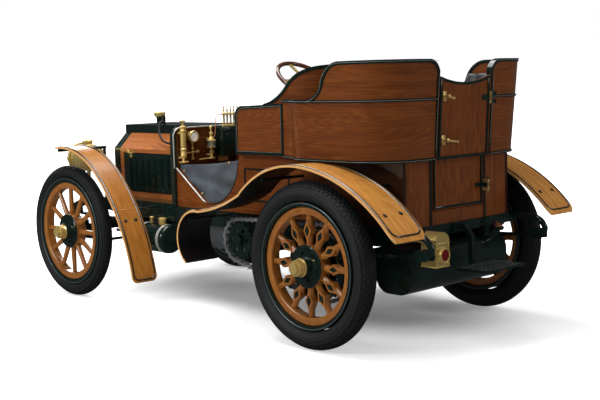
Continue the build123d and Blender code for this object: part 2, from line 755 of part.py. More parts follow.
with BuildPart() as starting_handle:
    crank_z = 520
    handle_end = WHEELBASE + FRONT_OVERHANG
    with BuildSketch(across(BONNET_FRONT_S + RADIATOR_THICK)):
        with Locations((0, crank_z)):
            Circle(15)
    extrude(amount=325)
    with BuildSketch(across(BONNET_FRONT_S + RADIATOR_THICK + 300)):
        with Locations((0, crank_z - 95)):
            SlotOverall(225, 32, rotation=90)
    extrude(amount=22)
    with BuildSketch(across(BONNET_FRONT_S + RADIATOR_THICK + 322)):
        with Locations((0, crank_z - 188)):
            Circle(15)
    extrude(amount=handle_end - BONNET_FRONT_S - RADIATOR_THICK - 322)
    with BuildSketch(across(BONNET_FRONT_S + 6)):
        with Locations((0, crank_z + 10)):
            Rectangle(70, 140)
    extrude(amount=RADIATOR_THICK - 6)
starting_handle.part.label = "starting_handle"
export_step(starting_handle.part, "parts/starting_handle.step")

LAMP_Y = RAIL_Y
LAMP_Z = 935
LAMP_RADIUS = 105
LAMP_REAR_S = WHEELBASE + 100
LAMP_FRONT_S = LAMP_REAR_S + 260
with BuildPart() as headlamps:
    lamp_cut = Plane(origin=place(0, LAMP_Y, LAMP_Z), x_dir=(1, 0, 0), z_dir=(0, 0, 1))
    with BuildSketch(lamp_cut):
        with BuildLine():
            Polyline(
                (LAMP_REAR_S + 90, 96),
                (LAMP_FRONT_S - 20, 96),
                (LAMP_FRONT_S - 20, LAMP_RADIUS),
                (LAMP_FRONT_S, LAMP_RADIUS),
                (LAMP_FRONT_S, 92),
                (LAMP_FRONT_S - 14, 92),
                (LAMP_FRONT_S - 14, 0),
                (LAMP_REAR_S, 0),
            )
            ThreePointArc((LAMP_REAR_S, 0), (LAMP_REAR_S + 27, 66), (LAMP_REAR_S + 90, 96))
        make_face()
    revolve(axis=Axis(lamp_cut.origin, (1, 0, 0)))
    with BuildSketch(level(LAMP_Z + 80)):
        with Locations((LAMP_REAR_S + 150, LAMP_Y)):
            Circle(36)
    extrude(amount=40)
    with BuildSketch(level(660)):
        with Locations((LAMP_REAR_S + 150, LAMP_Y)):
            Circle(14)
    extrude(amount=LAMP_Z - 660 - 60)
    with BuildSketch(across(LAMP_REAR_S + 120)):
        with Locations((LAMP_Y, 650)):
            Rectangle(RAIL_WIDTH, 50)
    extrude(amount=60)
    add(frame_rails.part, mode=Mode.SUBTRACT)
    with BuildSketch(across(LAMP_FRONT_S - 12)):
        with Locations((LAMP_Y, LAMP_Z)):
            Circle(91)
    extrude(amount=8)
    mirror(about=Plane.XZ)
headlamps.part.label = "headlamps"
export_step(headlamps.part, "parts/headlamps.step")

SIDE_TANK_R = 95
with BuildPart() as side_tank:
    with BuildSketch(across(1590)):
        with Locations((RAIL_OUTER + 20, 430)):
            Circle(SIDE_TANK_R)
    extrude(amount=320)
    fillet(side_tank.edges().filter_by(GeomType.CIRCLE), 22)
    with BuildSketch(level(430 + SIDE_TANK_R - 6)):
        with Locations((1680, RAIL_OUTER + 30)):
            Circle(26)
        with Locations((1800, RAIL_OUTER + 30)):
            Circle(12)
    extrude(amount=40)
    with BuildSketch(across(1660)):
        with Locations((RAIL_OUTER - 20, RAIL_BOTTOM - 25)):
            Rectangle(36, 50)
    extrude(amount=40)
side_tank.part.label = "side_tank"
export_step(side_tank.part, "parts/side_tank.step")

# Body


def side_panel_outline():
    """Side panel from dash to rear with the swept entry; drawn inside a sketch."""
    with BuildLine() as outline:
        Polyline(
            (BOX_REAR_S, BASE_TOP - BASE_THICK),
            (BOX_REAR_S, RAIL_TOP),
            (DASH_S, RAIL_TOP),
            (DASH_S, 905),
            (DASH_S - 267, 710),
        )
        sweep_low = TangentArc((DASH_S - 267, 710), (DASH_S - 303, 699), tangent=(-0.81, -0.59))
        ThreePointArc(sweep_low @ 1, (DASH_S - 542, 780), (SEAT_FRONT_S + 33, 985))
        Polyline(
            (SEAT_FRONT_S + 33, 985),
            (SEAT_FRONT_S + 27, BASE_TOP - BASE_THICK),
            (BOX_REAR_S, BASE_TOP - BASE_THICK),
        )
    return outline.line


with BuildPart() as body_sides:
    with BuildSketch(side(BOX_HALF)):
        add(make_face(side_panel_outline().edges(), mode=Mode.PRIVATE))
    extrude(amount=WALL)
    mirror(about=Plane.XZ)
body_sides.part.label = "body_sides"
export_step(body_sides.part, "parts/body_sides.step")

APRON_THICK = 5
with BuildPart() as leather_aprons:
    with BuildSketch(side(BOX_HALF - WALL)):
        with BuildLine():
            Line((DASH_S, 690), (DASH_S, 928))
            sag = ThreePointArc((DASH_S, 928), (1212, 952), (890, 985))
            Polyline(sag @ 1, (870, 985), (870, 690), (DASH_S, 690))
        make_face()
    extrude(amount=APRON_THICK)
    mirror(about=Plane.XZ)
leather_aprons.part.label = "leather_aprons"
export_step(leather_aprons.part, "parts/leather_aprons.step")

IN_HALF = BOX_HALF - WALL
TOE_S = 1290
with BuildPart() as floor:
    with BuildSketch(side(IN_HALF)):
        with Locations(((BOX_REAR_S + WALL + DASH_S) / 2, FLOOR_TOP - FLOOR_THICK / 2)):
            Rectangle(DASH_S - BOX_REAR_S - WALL, FLOOR_THICK)
    extrude(amount=2 * IN_HALF)
    with BuildSketch(side(IN_HALF - APRON_THICK)):
        Polygon(
            (TOE_S, FLOOR_TOP),
            (DASH_S, 870),
            (DASH_S, 840),
            (TOE_S + 40, FLOOR_TOP),
            align=None,
        )
    extrude(amount=2 * (IN_HALF - APRON_THICK))
floor.part.label = "floor"
export_step(floor.part, "parts/floor.step")

with BuildPart() as dash:
    with BuildSketch(across(DASH_S)):
        with Locations((0, (RAIL_TOP + DASH_TOP) / 2)):
            Rectangle(2 * DASH_HALF, DASH_TOP - RAIL_TOP)
        fillet(vertices().group_by(Axis.Y)[-1], 60)
    extrude(amount=DASH_THICK)
dash.part.label = "dash"
export_step(dash.part, "parts/dash.step")

# Instruments on the dash
OILER_COUNT = 7
OILER_PITCH = 29.3
with BuildPart() as dash_instruments:
    # Hand pump and lubricator: side, foot, top, radius, distance from the dash
    for y, low, high, radius, out in ((420, 940, 1215, 21, 30), (196, 954, 1175, 17, 42)):
        with BuildSketch(level(low)):
            with Locations((DASH_S - out, y)):
                Circle(radius)
        extrude(amount=high - low)
        for clip in (low + 25, high - 90):
            with BuildSketch(level(clip)):
                with Locations((DASH_S - out / 2, y)):
                    Rectangle(out, 1.6 * radius)
            extrude(amount=16)
    with BuildSketch(across(DASH_S - 45)):
        with Locations((338, 1108)):
            Circle(36)
    extrude(amount=45)
    with BuildSketch(across(DASH_S - 90)):
        with Locations((15, 1062)):
            Rectangle(240, 194)
    extrude(amount=90)
    with BuildSketch(level(1159)):
        for oiler in range(OILER_COUNT):
            with Locations((DASH_S - 45, 83 - OILER_PITCH * oiler)):
                Circle(9)
    extrude(amount=137)
    with BuildSketch(across(DASH_S - 4)):
        with Locations((66, 945)):
            Rectangle(84, 34)
    extrude(amount=4)
dash_instruments.part.label = "dash_instruments"
export_step(dash_instruments.part, "parts/dash_instruments.step")

# Seats in front


def seat_side(y, grow):
    """Outline of the left side of the front seat, drawn at a distance from the middle."""
    with BuildSketch(side(y)) as outline:
        with BuildLine():
            Polyline((STRIP_S, BASE_TOP), (SEAT_FRONT_S, BASE_TOP), (SEAT_FRONT_S, BELT_Z - 95))
            nose = TangentArc((SEAT_FRONT_S, BELT_Z - 95), (SEAT_FRONT_S - 52, BELT_Z - 38), tangent=(0, 1))
            Polyline(nose @ 1, (STRIP_S, BELT_Z - 24), (STRIP_S, BASE_TOP))
        make_face()
        if grow:
            offset(amount=grow)
    return outline.sketch


with BuildPart() as front_seat_sides:
    extrude(seat_side(SEAT_HALF, 0), amount=WALL)
    mirror(about=Plane.XZ)
front_seat_sides.part.label = "front_seat_sides"
export_step(front_seat_sides.part, "parts/front_seat_sides.step")

BACK_HALF = SEAT_HALF - WALL
BACK_S = 215
BACK_CORNER = 200
BACK_FRONT_S = 640
BACK_TOP = TONNEAU_TOP - 5
BACK_THICK = 22


def seat_ring(inset, front):
    """Plan of the front seat back as a region open to the front."""
    half = BACK_HALF - inset
    rear = BACK_S + inset
    turn = BACK_CORNER - inset
    with BuildSketch(level(BASE_TOP)) as plan:
        with BuildLine():
            Line((front, half), (rear + turn, half))
            RadiusArc((rear + turn, half), (rear, half - turn), -turn)
            Line((rear, half - turn), (rear, turn - half))
            RadiusArc((rear, turn - half), (rear + turn, -half), -turn)
            Polyline((rear + turn, -half), (front, -half), (front, half))
        make_face()
    return plan.sketch


def above_back(grow):
    """Region above the sweeping top edge of the front seat back, seen from the side."""
    with BuildSketch(side(SEAT_HALF)) as region:
        with BuildLine():
            foot = Line((BACK_FRONT_S + 200, BELT_Z - 27), (680, BELT_Z - 27))
            rise = TangentArc(foot @ 1, (440, BELT_Z + 78), tangent=(-1, 0))
            crest = TangentArc(rise @ 1, (172, BACK_TOP), tangent=rise % 1)
            over = BACK_TOP + 160
            Polyline(crest @ 1, (0, BACK_TOP), (0, over), (BACK_FRONT_S + 200, over), foot @ 0)
        make_face()
        if grow:
            offset(amount=grow)
    return region.sketch


with BuildPart() as front_seat_back:
    extrude(seat_ring(0, BACK_FRONT_S), amount=BACK_TOP - BASE_TOP)
    extrude(seat_ring(BACK_THICK, BACK_FRONT_S + 10), amount=BACK_TOP - BASE_TOP, mode=Mode.SUBTRACT)
    extrude(above_back(0), amount=2 * SEAT_HALF, mode=Mode.SUBTRACT)
front_seat_back.part.label = "front_seat_back"
export_step(front_seat_back.part, "parts/front_seat_back.step")

SEAT_BOX_TOP = 985
with BuildPart() as seat_boxes:
    with BuildSketch(level(FLOOR_TOP)):
        with Locations((570, 0)):
            Rectangle(560, 2 * (IN_HALF - APRON_THICK))
        with Locations((570, 0)):
            Rectangle(520, 2 * (IN_HALF - APRON_THICK) - 40, mode=Mode.SUBTRACT)
    extrude(amount=SEAT_BOX_TOP - FLOOR_TOP)
    with BuildSketch(level(SEAT_BOX_TOP - 20)):
        with Locations((570, 0)):
            Rectangle(560, 2 * (IN_HALF - APRON_THICK))
    extrude(amount=20)
    with BuildSketch(level(FLOOR_TOP)):
        with Locations((-130, IN_HALF - 100), (-130, 100 - IN_HALF)):
            Rectangle(500, 200)
    extrude(amount=SEAT_BOX_TOP - FLOOR_TOP)
seat_boxes.part.label = "seat_boxes"
export_step(seat_boxes.part, "parts/seat_boxes.step")

CUSHION_TOP = 1115
with BuildPart() as seat_cushions:
    with BuildSketch(level(SEAT_BOX_TOP)):
        with Locations((575, 212), (575, -212)):
            RectangleRounded(550, 416, 60)
    extrude(amount=CUSHION_TOP - SEAT_BOX_TOP)
    with BuildSketch(level(SEAT_BOX_TOP)):
        with Locations((-130, IN_HALF - 102), (-130, 102 - IN_HALF)):
            RectangleRounded(470, 190, 50)
    extrude(amount=CUSHION_TOP - SEAT_BOX_TOP)
    fillet(seat_cushions.edges().group_by(Axis.Z)[-1], 30)
seat_cushions.part.label = "seat_cushions"
export_step(seat_cushions.part, "parts/seat_cushions.step")

SQUAB = 70
SQUAB_DROP = 30
SQUAB_FRONT_S = BACK_S + BACK_CORNER + 60

# Tonneau


def tonneau_plan(z, inset, front, door):
    """Left tonneau outline at a height, leaning outward as it rises, as a region towards the middle."""
    lean = FLARE * (z - BASE_TOP) / (TONNEAU_TOP - BASE_TOP)
    start = SEAT_HALF - inset
    half = TONNEAU_HALF + lean - inset
    rear = TONNEAU_REAR - lean + inset
    turn = TONNEAU_CORNER - inset
    middle = ((STRIP_S + BEND_END_S) / 2, (start + half) / 2)
    with BuildSketch(level(z)) as plan:
        with BuildLine():
            if front > STRIP_S:
                Line((front, start), (STRIP_S, start))
            out = TangentArc((STRIP_S, start), middle, tangent=(-1, 0))
            TangentArc(middle, (BEND_END_S, half), tangent=out % 1)
            Line((BEND_END_S, half), (rear + turn, half))
            RadiusArc((rear + turn, half), (rear, half - turn), -turn)
            Polyline((rear, half - turn), (rear, door), (front, door), (front, start))
        make_face()
    return plan.sketch


def tonneau_block(low, high, inset, front, door):
    """Low and high outlines of a block of the tonneau."""
    return [tonneau_plan(low, inset, front, door), tonneau_plan(high, inset, front, door)]


def above_tonneau(grow):
    """Region above the wing that rises from belt to rim, seen from the side."""
    with BuildSketch(side(2 * SEAT_HALF)) as region:
        with BuildLine():
            foot = Line((STRIP_S + 100, BELT_Z), (120, BELT_Z))
            rise = TangentArc(foot @ 1, (-18, BELT_Z + 100), tangent=(-1, 0))
            crest = TangentArc(rise @ 1, (-150, TONNEAU_TOP), tangent=rise % 1)
            over = TONNEAU_TOP + 255
            Polyline(crest @ 1, (-700, TONNEAU_TOP), (-700, over), (STRIP_S + 100, over), foot @ 0)
        make_face()
        if grow:
            offset(amount=grow)
    return region.sketch


def beside_door(grow):
    """Region above the rounded shoulder that comes down to the door post, seen from behind."""
    post = DOOR_HALF + DOOR_GAP
    shoulder = 85
    with BuildSketch(across(-700)) as region:
        with BuildLine():
            drop = RadiusArc((post, TONNEAU_TOP - shoulder), (post + shoulder, TONNEAU_TOP), shoulder)
            over = TONNEAU_TOP + 255
            Polyline(drop @ 1, (post + shoulder, over), (0, over), (0, TONNEAU_TOP - shoulder), drop @ 0)
        make_face()
        if grow:
            offset(amount=grow)
    return region.sketch


POST_Y = DOOR_HALF + DOOR_GAP
with BuildPart() as tonneau_walls:
    loft(sections=tonneau_block(BASE_TOP, TONNEAU_TOP, 0, STRIP_S, POST_Y))
    loft(sections=tonneau_block(BASE_TOP, TONNEAU_TOP, WALL, STRIP_S + 10, POST_Y - 10), mode=Mode.SUBTRACT)
    extrude(above_tonneau(0), amount=2 * SEAT_HALF, mode=Mode.SUBTRACT)
    extrude(beside_door(0), amount=500, mode=Mode.SUBTRACT)
    mirror(about=Plane.XZ)
tonneau_walls.part.label = "tonneau_walls"
export_step(tonneau_walls.part, "parts/tonneau_walls.step")

with BuildPart() as tonneau_base:
    extrude(tonneau_plan(BASE_TOP, 0, STRIP_S, POST_Y), amount=-BASE_THICK)
    with BuildSketch(level(BASE_TOP - BASE_THICK)):
        with Locations(((STRIP_S + SEAT_FRONT_S) / 2, (SEAT_HALF + IN_HALF) / 2)):
            Rectangle(SEAT_FRONT_S - STRIP_S, SEAT_HALF - IN_HALF)
    extrude(amount=BASE_THICK)
    with BuildSketch(level(BASE_TOP - BASE_THICK)):
        with Locations(((BOX_REAR_S + WALL + 600) / 2, IN_HALF / 2)):
            Rectangle(600 - BOX_REAR_S - WALL, IN_HALF)
    extrude(amount=BASE_THICK, mode=Mode.SUBTRACT)
    mirror(about=Plane.XZ)
tonneau_base.part.label = "tonneau_base"
export_step(tonneau_base.part, "parts/tonneau_base.step")

BASE_LOW = BASE_TOP - BASE_THICK
with BuildPart() as rear_panel:
    with BuildSketch(across(BOX_REAR_S)):
        with Locations((0, (RAIL_TOP + BASE_LOW) / 2)):
            Rectangle(2 * IN_HALF, BASE_LOW - RAIL_TOP)
        with Locations((0, DOOR_BOTTOM - DOOR_GAP + 200)):
            Rectangle(2 * POST_Y, 400, mode=Mode.SUBTRACT)
    extrude(amount=WALL)
rear_panel.part.label = "rear_panel"
export_step(rear_panel.part, "parts/rear_panel.step")

DOOR_LEAN = FLARE * (DOOR_TOP - BASE_TOP) / (TONNEAU_TOP - BASE_TOP)
BEAD_OUT = 7
BEAD_HEIGHT = 13
DOOR_PIN = 7
DOOR_PIN_S = TONNEAU_REAR - 13
DOOR_PIN_Y = -DOOR_HALF - 3
DOOR_PIN_LEAN = 0.039
KNUCKLE = 22
# Heights of the middle knuckles of the door hinges
DOOR_HINGES = (830, 1322)


def door_pin(z):
    """Plane across the leaning pin line of the door: local x is to the left, local y backward."""
    station = DOOR_PIN_S - DOOR_PIN_LEAN * (z - BASE_TOP)
    return Plane(
        origin=place(station, DOOR_PIN_Y, z), x_dir=(0, 1, 0), z_dir=(-DOOR_PIN_LEAN, 0, 1)
    )


def hinge_knuckle(z, shift, hand):
    """Section of one hinge knuckle with its arm and its leaf let into the panel."""
    panel = BOX_REAR_S
    if z > BASE_TOP:
        panel = TONNEAU_REAR - DOOR_LEAN * (z - BASE_TOP) / (DOOR_TOP - BASE_TOP)
    reach = panel - DOOR_PIN_S + DOOR_PIN_LEAN * (z - BASE_TOP) + 1.8
    with BuildSketch(door_pin(z).offset(shift)) as section:
        Circle(DOOR_PIN)
        with Locations((hand * 5, -reach / 2)):
            Rectangle(14, reach)
        with Locations((hand * 34, 2.5 - reach)):
            Rectangle(60, 5)
    return section.sketch


with BuildPart() as rear_door:
    with BuildSketch(side(DOOR_HALF)):
        Polygon(
            (BOX_REAR_S, DOOR_BOTTOM),
            (BOX_REAR_S, BASE_LOW),
            (TONNEAU_REAR - BEAD_OUT, BASE_LOW),
            (TONNEAU_REAR - BEAD_OUT, BASE_LOW + BEAD_HEIGHT),
            (TONNEAU_REAR, BASE_LOW + BEAD_HEIGHT),
            (TONNEAU_REAR - DOOR_LEAN, DOOR_TOP),
            (TONNEAU_REAR - DOOR_LEAN + WALL, DOOR_TOP),
            (TONNEAU_REAR + WALL, BASE_TOP + 24),
            (BOX_REAR_S + WALL, BASE_LOW + 10),
            (BOX_REAR_S + WALL, DOOR_BOTTOM),
            align=None,
        )
    extrude(amount=2 * DOOR_HALF)
    with BuildSketch(across(-700)):
        with Locations((0, DOOR_TOP + 640)):
            Circle(677)
    extrude(amount=500, mode=Mode.SUBTRACT)
    for z in DOOR_HINGES:
        extrude(hinge_knuckle(z, 0, 1), amount=KNUCKLE)
rear_door.part.label = "rear_door"
export_step(rear_door.part, "parts/rear_door.step")

SQUAB_LOW = CUSHION_TOP + 4
SQUAB_TOP = TONNEAU_TOP - 75
with BuildPart() as seat_squabs:
    loft(sections=tonneau_block(SQUAB_LOW, SQUAB_TOP, WALL, STRIP_S + 10, POST_Y + 30))
    loft(
        sections=tonneau_block(SQUAB_LOW, SQUAB_TOP, WALL + 60, STRIP_S + 20, POST_Y + 20),
        mode=Mode.SUBTRACT,
    )
    with BuildSketch(level(SQUAB_LOW)):
        with Locations((350, 400)):
            Rectangle(500, 600)
    extrude(amount=500, mode=Mode.SUBTRACT)
    extrude(above_tonneau(SQUAB_DROP), amount=2 * SEAT_HALF, mode=Mode.SUBTRACT)
    mirror(about=Plane.XZ)
    extrude(seat_ring(BACK_THICK, SQUAB_FRONT_S), amount=BACK_TOP - 40 - BASE_TOP)
    extrude(
        seat_ring(BACK_THICK + SQUAB, SQUAB_FRONT_S + 10),
        amount=BACK_TOP - 40 - BASE_TOP,
        mode=Mode.SUBTRACT,
    )
    with BuildSketch(level(BASE_TOP)):
        with Locations((BACK_S + 200, 0)):
            Rectangle(500, 2 * SEAT_HALF)
    extrude(amount=CUSHION_TOP + 4 - BASE_TOP, mode=Mode.SUBTRACT)
    extrude(above_back(SQUAB_DROP), amount=2 * SEAT_HALF, mode=Mode.SUBTRACT)
seat_squabs.part.label = "seat_squabs"
export_step(seat_squabs.part, "parts/seat_squabs.step")

# Beading: belts, capped rims, the frames of the front seat sides and the door posts

RIM_OUT = 5
RIM_UP = 4
RIM_DEEP = 15
POST_BEAD = 14
POST_OFF = 7
with BuildPart() as rim_zone:
    extrude(above_tonneau(RIM_DEEP), amount=2 * SEAT_HALF)
    extrude(beside_door(RIM_DEEP), amount=500)

with BuildPart() as tonneau_rim:
    rim_top = TONNEAU_TOP + 3 * RIM_UP
    loft(sections=tonneau_block(BASE_TOP, rim_top, -RIM_OUT, STRIP_S, POST_Y))
    loft(
        sections=tonneau_block(BASE_TOP, rim_top, WALL + RIM_OUT, STRIP_S + 10, POST_Y - 10),
        mode=Mode.SUBTRACT,
    )
    extrude(above_tonneau(-RIM_UP), amount=2 * SEAT_HALF, mode=Mode.SUBTRACT)
    extrude(beside_door(-RIM_UP), amount=500, mode=Mode.SUBTRACT)
    add(rim_zone.part, mode=Mode.INTERSECT)

with BuildPart() as wall_room:
    low = BASE_LOW - 20
    loft(sections=tonneau_block(low, TONNEAU_TOP, -SEAT_FIT, STRIP_S, POST_Y - 10))
    loft(
        sections=tonneau_block(low, TONNEAU_TOP, WALL + SEAT_FIT, STRIP_S + 10, POST_Y - 20),
        mode=Mode.SUBTRACT,
    )
    extrude(above_tonneau(0), amount=2 * SEAT_HALF, mode=Mode.SUBTRACT)
    extrude(beside_door(0), amount=500, mode=Mode.SUBTRACT)

with BuildPart() as back_rim:
    extrude(seat_ring(-RIM_OUT, BACK_FRONT_S), amount=BACK_TOP + RIM_UP - BASE_TOP)
    extrude(
        seat_ring(BACK_THICK + RIM_OUT, BACK_FRONT_S + 10),
        amount=BACK_TOP + RIM_UP - BASE_TOP,
        mode=Mode.SUBTRACT,
    )
    extrude(above_back(-RIM_UP), amount=2 * SEAT_HALF, mode=Mode.SUBTRACT)
    extrude(above_back(RIM_DEEP), amount=2 * SEAT_HALF, mode=Mode.INTERSECT)

with BuildPart() as body_beading:
    for z in (BASE_LOW, BELT_Z - BEAD_HEIGHT):
        extrude(tonneau_plan(z, -BEAD_OUT, STRIP_S, POST_Y + 14), amount=BEAD_HEIGHT)
    loft(sections=tonneau_block(low, TONNEAU_TOP, -SEAT_FIT, STRIP_S + 10, 0), mode=Mode.SUBTRACT)
    add(tonneau_rim.part)
    extrude(seat_side(SEAT_HALF + RIM_OUT, RIM_UP), amount=WALL + 2 * RIM_OUT)
    extrude(seat_side(SEAT_HALF + RIM_OUT, -RIM_DEEP), amount=WALL + 2 * RIM_OUT, mode=Mode.SUBTRACT)
    with BuildSketch(side(POST_Y + POST_OFF + POST_BEAD)):
        Polygon(
            (TONNEAU_REAR - RIM_OUT, BASE_TOP),
            (TONNEAU_REAR - DOOR_LEAN - RIM_OUT, DOOR_TOP),
            (TONNEAU_REAR - DOOR_LEAN, DOOR_TOP),
            (TONNEAU_REAR, BASE_TOP),
            align=None,
        )
        Polygon(
            (BOX_REAR_S - RIM_OUT, RAIL_TOP),
            (BOX_REAR_S - RIM_OUT, BASE_LOW),
            (BOX_REAR_S, BASE_LOW),
            (BOX_REAR_S, RAIL_TOP),
            align=None,
        )
    extrude(amount=POST_BEAD)
    add(wall_room.part, mode=Mode.SUBTRACT)
    mirror(about=Plane.XZ)
    add(back_rim.part)
    for neighbour in (tonneau_base, front_seat_sides, front_seat_back, seat_squabs):
        add(neighbour.part, mode=Mode.SUBTRACT)
body_beading.part.label = "body_beading"
export_step(body_beading.part, "parts/body_beading.step")

# Hinge halves that stay with the body: outer knuckles of the door and of the bonnet flaps
with BuildPart() as hinges:
    for z in DOOR_HINGES:
        for shift in (-KNUCKLE - KNUCKLE_GAP, KNUCKLE + KNUCKLE_GAP):
            extrude(hinge_knuckle(z, shift, -1), amount=KNUCKLE)
    for sides in (-1, 1):
        for station in FLAP_HINGES:
            for start in (station - 30 - KNUCKLE_GAP, station + 15 + KNUCKLE_GAP):
                with BuildSketch(across(start)):
                    with Locations((sides * FLAP_PIN_Y, FLAP_PIN_Z)):
                        Circle(FLAP_PIN)
                    with Locations((sides * (BONNET_HALF + 2), FLAP_PIN_Z + 13)):
                        Rectangle(4, 26)
                extrude(amount=15)
    for neighbour in (tonneau_walls, rear_panel, body_beading):
        add(neighbour.part, mode=Mode.SUBTRACT)
hinges.part.label = "hinges"
export_step(hinges.part, "parts/hinges.step")

# Driver's controls

COLUMN_Y = -250
COLUMN_LEAN = radians(35)
WHEEL_HUB_S = 1030
WHEEL_HUB_Z = 1455
COLUMN_R = 19
STEER_RIM = 200
column_dir = Vector(-sin(COLUMN_LEAN), 0, cos(COLUMN_LEAN))
hub_point = Vector(*place(WHEEL_HUB_S, COLUMN_Y, WHEEL_HUB_Z))
COLUMN_LENGTH = (WHEEL_HUB_Z - FLOOR_TOP - 139) / cos(COLUMN_LEAN)
column_top = Plane(origin=hub_point, x_dir=(0, 1, 0), z_dir=column_dir)
with BuildPart() as driver_controls:
    with BuildSketch(column_top.offset(-19.5)):
        Circle(COLUMN_R)
    extrude(amount=-COLUMN_LENGTH)
    for y in (COLUMN_Y + 150, COLUMN_Y + 75, COLUMN_Y - 85):
        with BuildSketch(side(y + 30)):
            Polygon((TOE_S + 80, 800), (TOE_S + 94, 790), (TOE_S + 150, 870), (TOE_S + 136, 880), align=None)
        extrude(amount=60)
        with BuildSketch(side(y + 8)):
            Polygon(
                (TOE_S + 105, 815),
                (TOE_S + 190, 690),
                (TOE_S + 210, 690),
                (TOE_S + 125, 835),
                align=None,
            )
        extrude(amount=16)
    for y, top_s in ((-BOX_HALF - 10, 1120), (-BOX_HALF - 38, 1190)):
        with BuildSketch(side(y)):
            Polygon((1040, 560), (1075, 560), (top_s + 10, 1180), (top_s - 10, 1180), align=None)
        extrude(amount=12)
        with BuildSketch(level(1178)):
            with Locations((top_s, y - 6)):
                Circle(16)
        extrude(amount=100)
    with BuildSketch(side(-RAIL_OUTER)):
        with Locations((1057, 590)):
            Circle(30)
    extrude(amount=BOX_HALF + 56 - RAIL_OUTER)
    add(floor.part, mode=Mode.SUBTRACT)
driver_controls.part.label = "driver_controls"
export_step(driver_controls.part, "parts/driver_controls.step")

with BuildPart(column_top) as steering_wheel:
    with BuildSketch(Plane(origin=hub_point, x_dir=column_top.x_dir, z_dir=column_top.y_dir)):
        with Locations((STEER_RIM, 0)):
            Circle(14)
        with Locations((20, 4)):
            Rectangle(40, 30)
    revolve(axis=Axis(hub_point, column_dir))
    with PolarLocations(STEER_RIM / 2, 4):
        Box(STEER_RIM, 22, 9)
steering_wheel.part.label = "steering_wheel"
export_step(steering_wheel.part, "parts/steering_wheel.step")

# Fenders

with BuildPart() as rear_fenders:
    with BuildSketch(side(REAR_FENDER_OUT)):
        with BuildLine():
            back = ThreePointArc((-665, 650), (-344, 903), (30, 1004))
            fall = TangentArc(back @ 1, (520, 822), tangent=back % 1)
            swoop = ThreePointArc(fall @ 1, (700, 745), (900, 702))
            ThreePointArc(swoop @ 1, (1105, 545), (1030, 372))
            offset(amount=FENDER_THICK, side=Side.RIGHT)
        make_face()
    extrude(amount=REAR_FENDER_OUT - REAR_FENDER_IN)
    with BuildSketch(level(0)):
        with Locations((300, (REAR_FENDER_IN + REAR_FENDER_OUT) / 2)):
            RectangleRounded(1932, REAR_FENDER_OUT - REAR_FENDER_IN, 45)
    extrude(amount=1500, mode=Mode.INTERSECT)
    mirror(about=Plane.XZ)
rear_fenders.part.label = "rear_fenders"
export_step(rear_fenders.part, "parts/rear_fenders.step")

with BuildPart() as front_fenders:
    with BuildSketch(side(FRONT_FENDER_OUT)):
        with BuildLine():
            over = ThreePointArc((WHEELBASE - 840, 185), (WHEELBASE - 665, 635), (WHEELBASE - 440, 892))
            TangentArc(over @ 1, (WHEELBASE + 45, 1040), tangent=over % 1)
            offset(amount=FENDER_THICK, side=Side.RIGHT)
        make_face()
    extrude(amount=FRONT_FENDER_OUT - FRONT_FENDER_IN)
    with BuildSketch(across(WHEELBASE - 1000)):
        with Locations(((FRONT_FENDER_IN + FRONT_FENDER_OUT) / 2, 700)):
            RectangleRounded(FRONT_FENDER_OUT - FRONT_FENDER_IN, 1032, 40)
    extrude(amount=1200, mode=Mode.INTERSECT)
    mirror(about=Plane.XZ)
front_fenders.part.label = "front_fenders"
export_step(front_fenders.part, "parts/front_fenders.step")

# Fender irons: station, inner end, outer end, height
STAY_RADIUS = 9
with BuildPart() as fender_stays:
    for station, y_in, y_out, z in (
        (330, BOX_HALF, REAR_FENDER_OUT - 20, 910),
        (-330, BOX_HALF, REAR_FENDER_OUT - 20, 890),
        (1000, RAIL_OUTER, REAR_FENDER_OUT - 20, 640),
        (WHEELBASE - 652, RAIL_OUTER, FRONT_FENDER_OUT - 20, 640),
    ):
        with BuildSketch(side(y_out)):
            with Locations((station, z)):
                Circle(STAY_RADIUS)
        extrude(amount=y_out - y_in)
    with BuildSketch(level(RAIL_TOP)):
        with Locations((WHEELBASE + 30, RAIL_Y)):
            Circle(11)
    extrude(amount=1018 - RAIL_TOP)
    with BuildSketch(side(FRONT_FENDER_OUT - 20)):
        with Locations((WHEELBASE + 30, 1018)):
            Circle(11)
    extrude(amount=FRONT_FENDER_OUT - 20 - RAIL_Y + 11)
    add(rear_fenders.part, mode=Mode.SUBTRACT)
    add(front_fenders.part, mode=Mode.SUBTRACT)
    mirror(about=Plane.XZ)
fender_stays.part.label = "fender_stays"
export_step(fender_stays.part, "parts/fender_stays.step")

# Rear end

with BuildPart() as fuel_tank:
    with BuildSketch(side(420)):
        with Locations((-315, 418)):
            RectangleRounded(260, 252, 90)
    extrude(amount=840)
    with BuildSketch(Plane(origin=place(-380, -300, 500), x_dir=(1, 0, 0), z_dir=(-0.5, -0.45, 0.75))):
        Circle(24)
    extrude(amount=110)
    with BuildSketch(Plane(origin=place(-435, -349, 582), x_dir=(1, 0, 0), z_dir=(-0.5, -0.45, 0.75))):
        Circle(32)
    extrude(amount=26)
    for y in (-260, 260):
        with BuildSketch(side(y + 20)):
            with Locations((-410, 575)):
                Rectangle(34, 64)
        extrude(amount=40)
    add(cross_members.part, mode=Mode.SUBTRACT)
fuel_tank.part.label = "fuel_tank"
export_step(fuel_tank.part, "parts/fuel_tank.step")

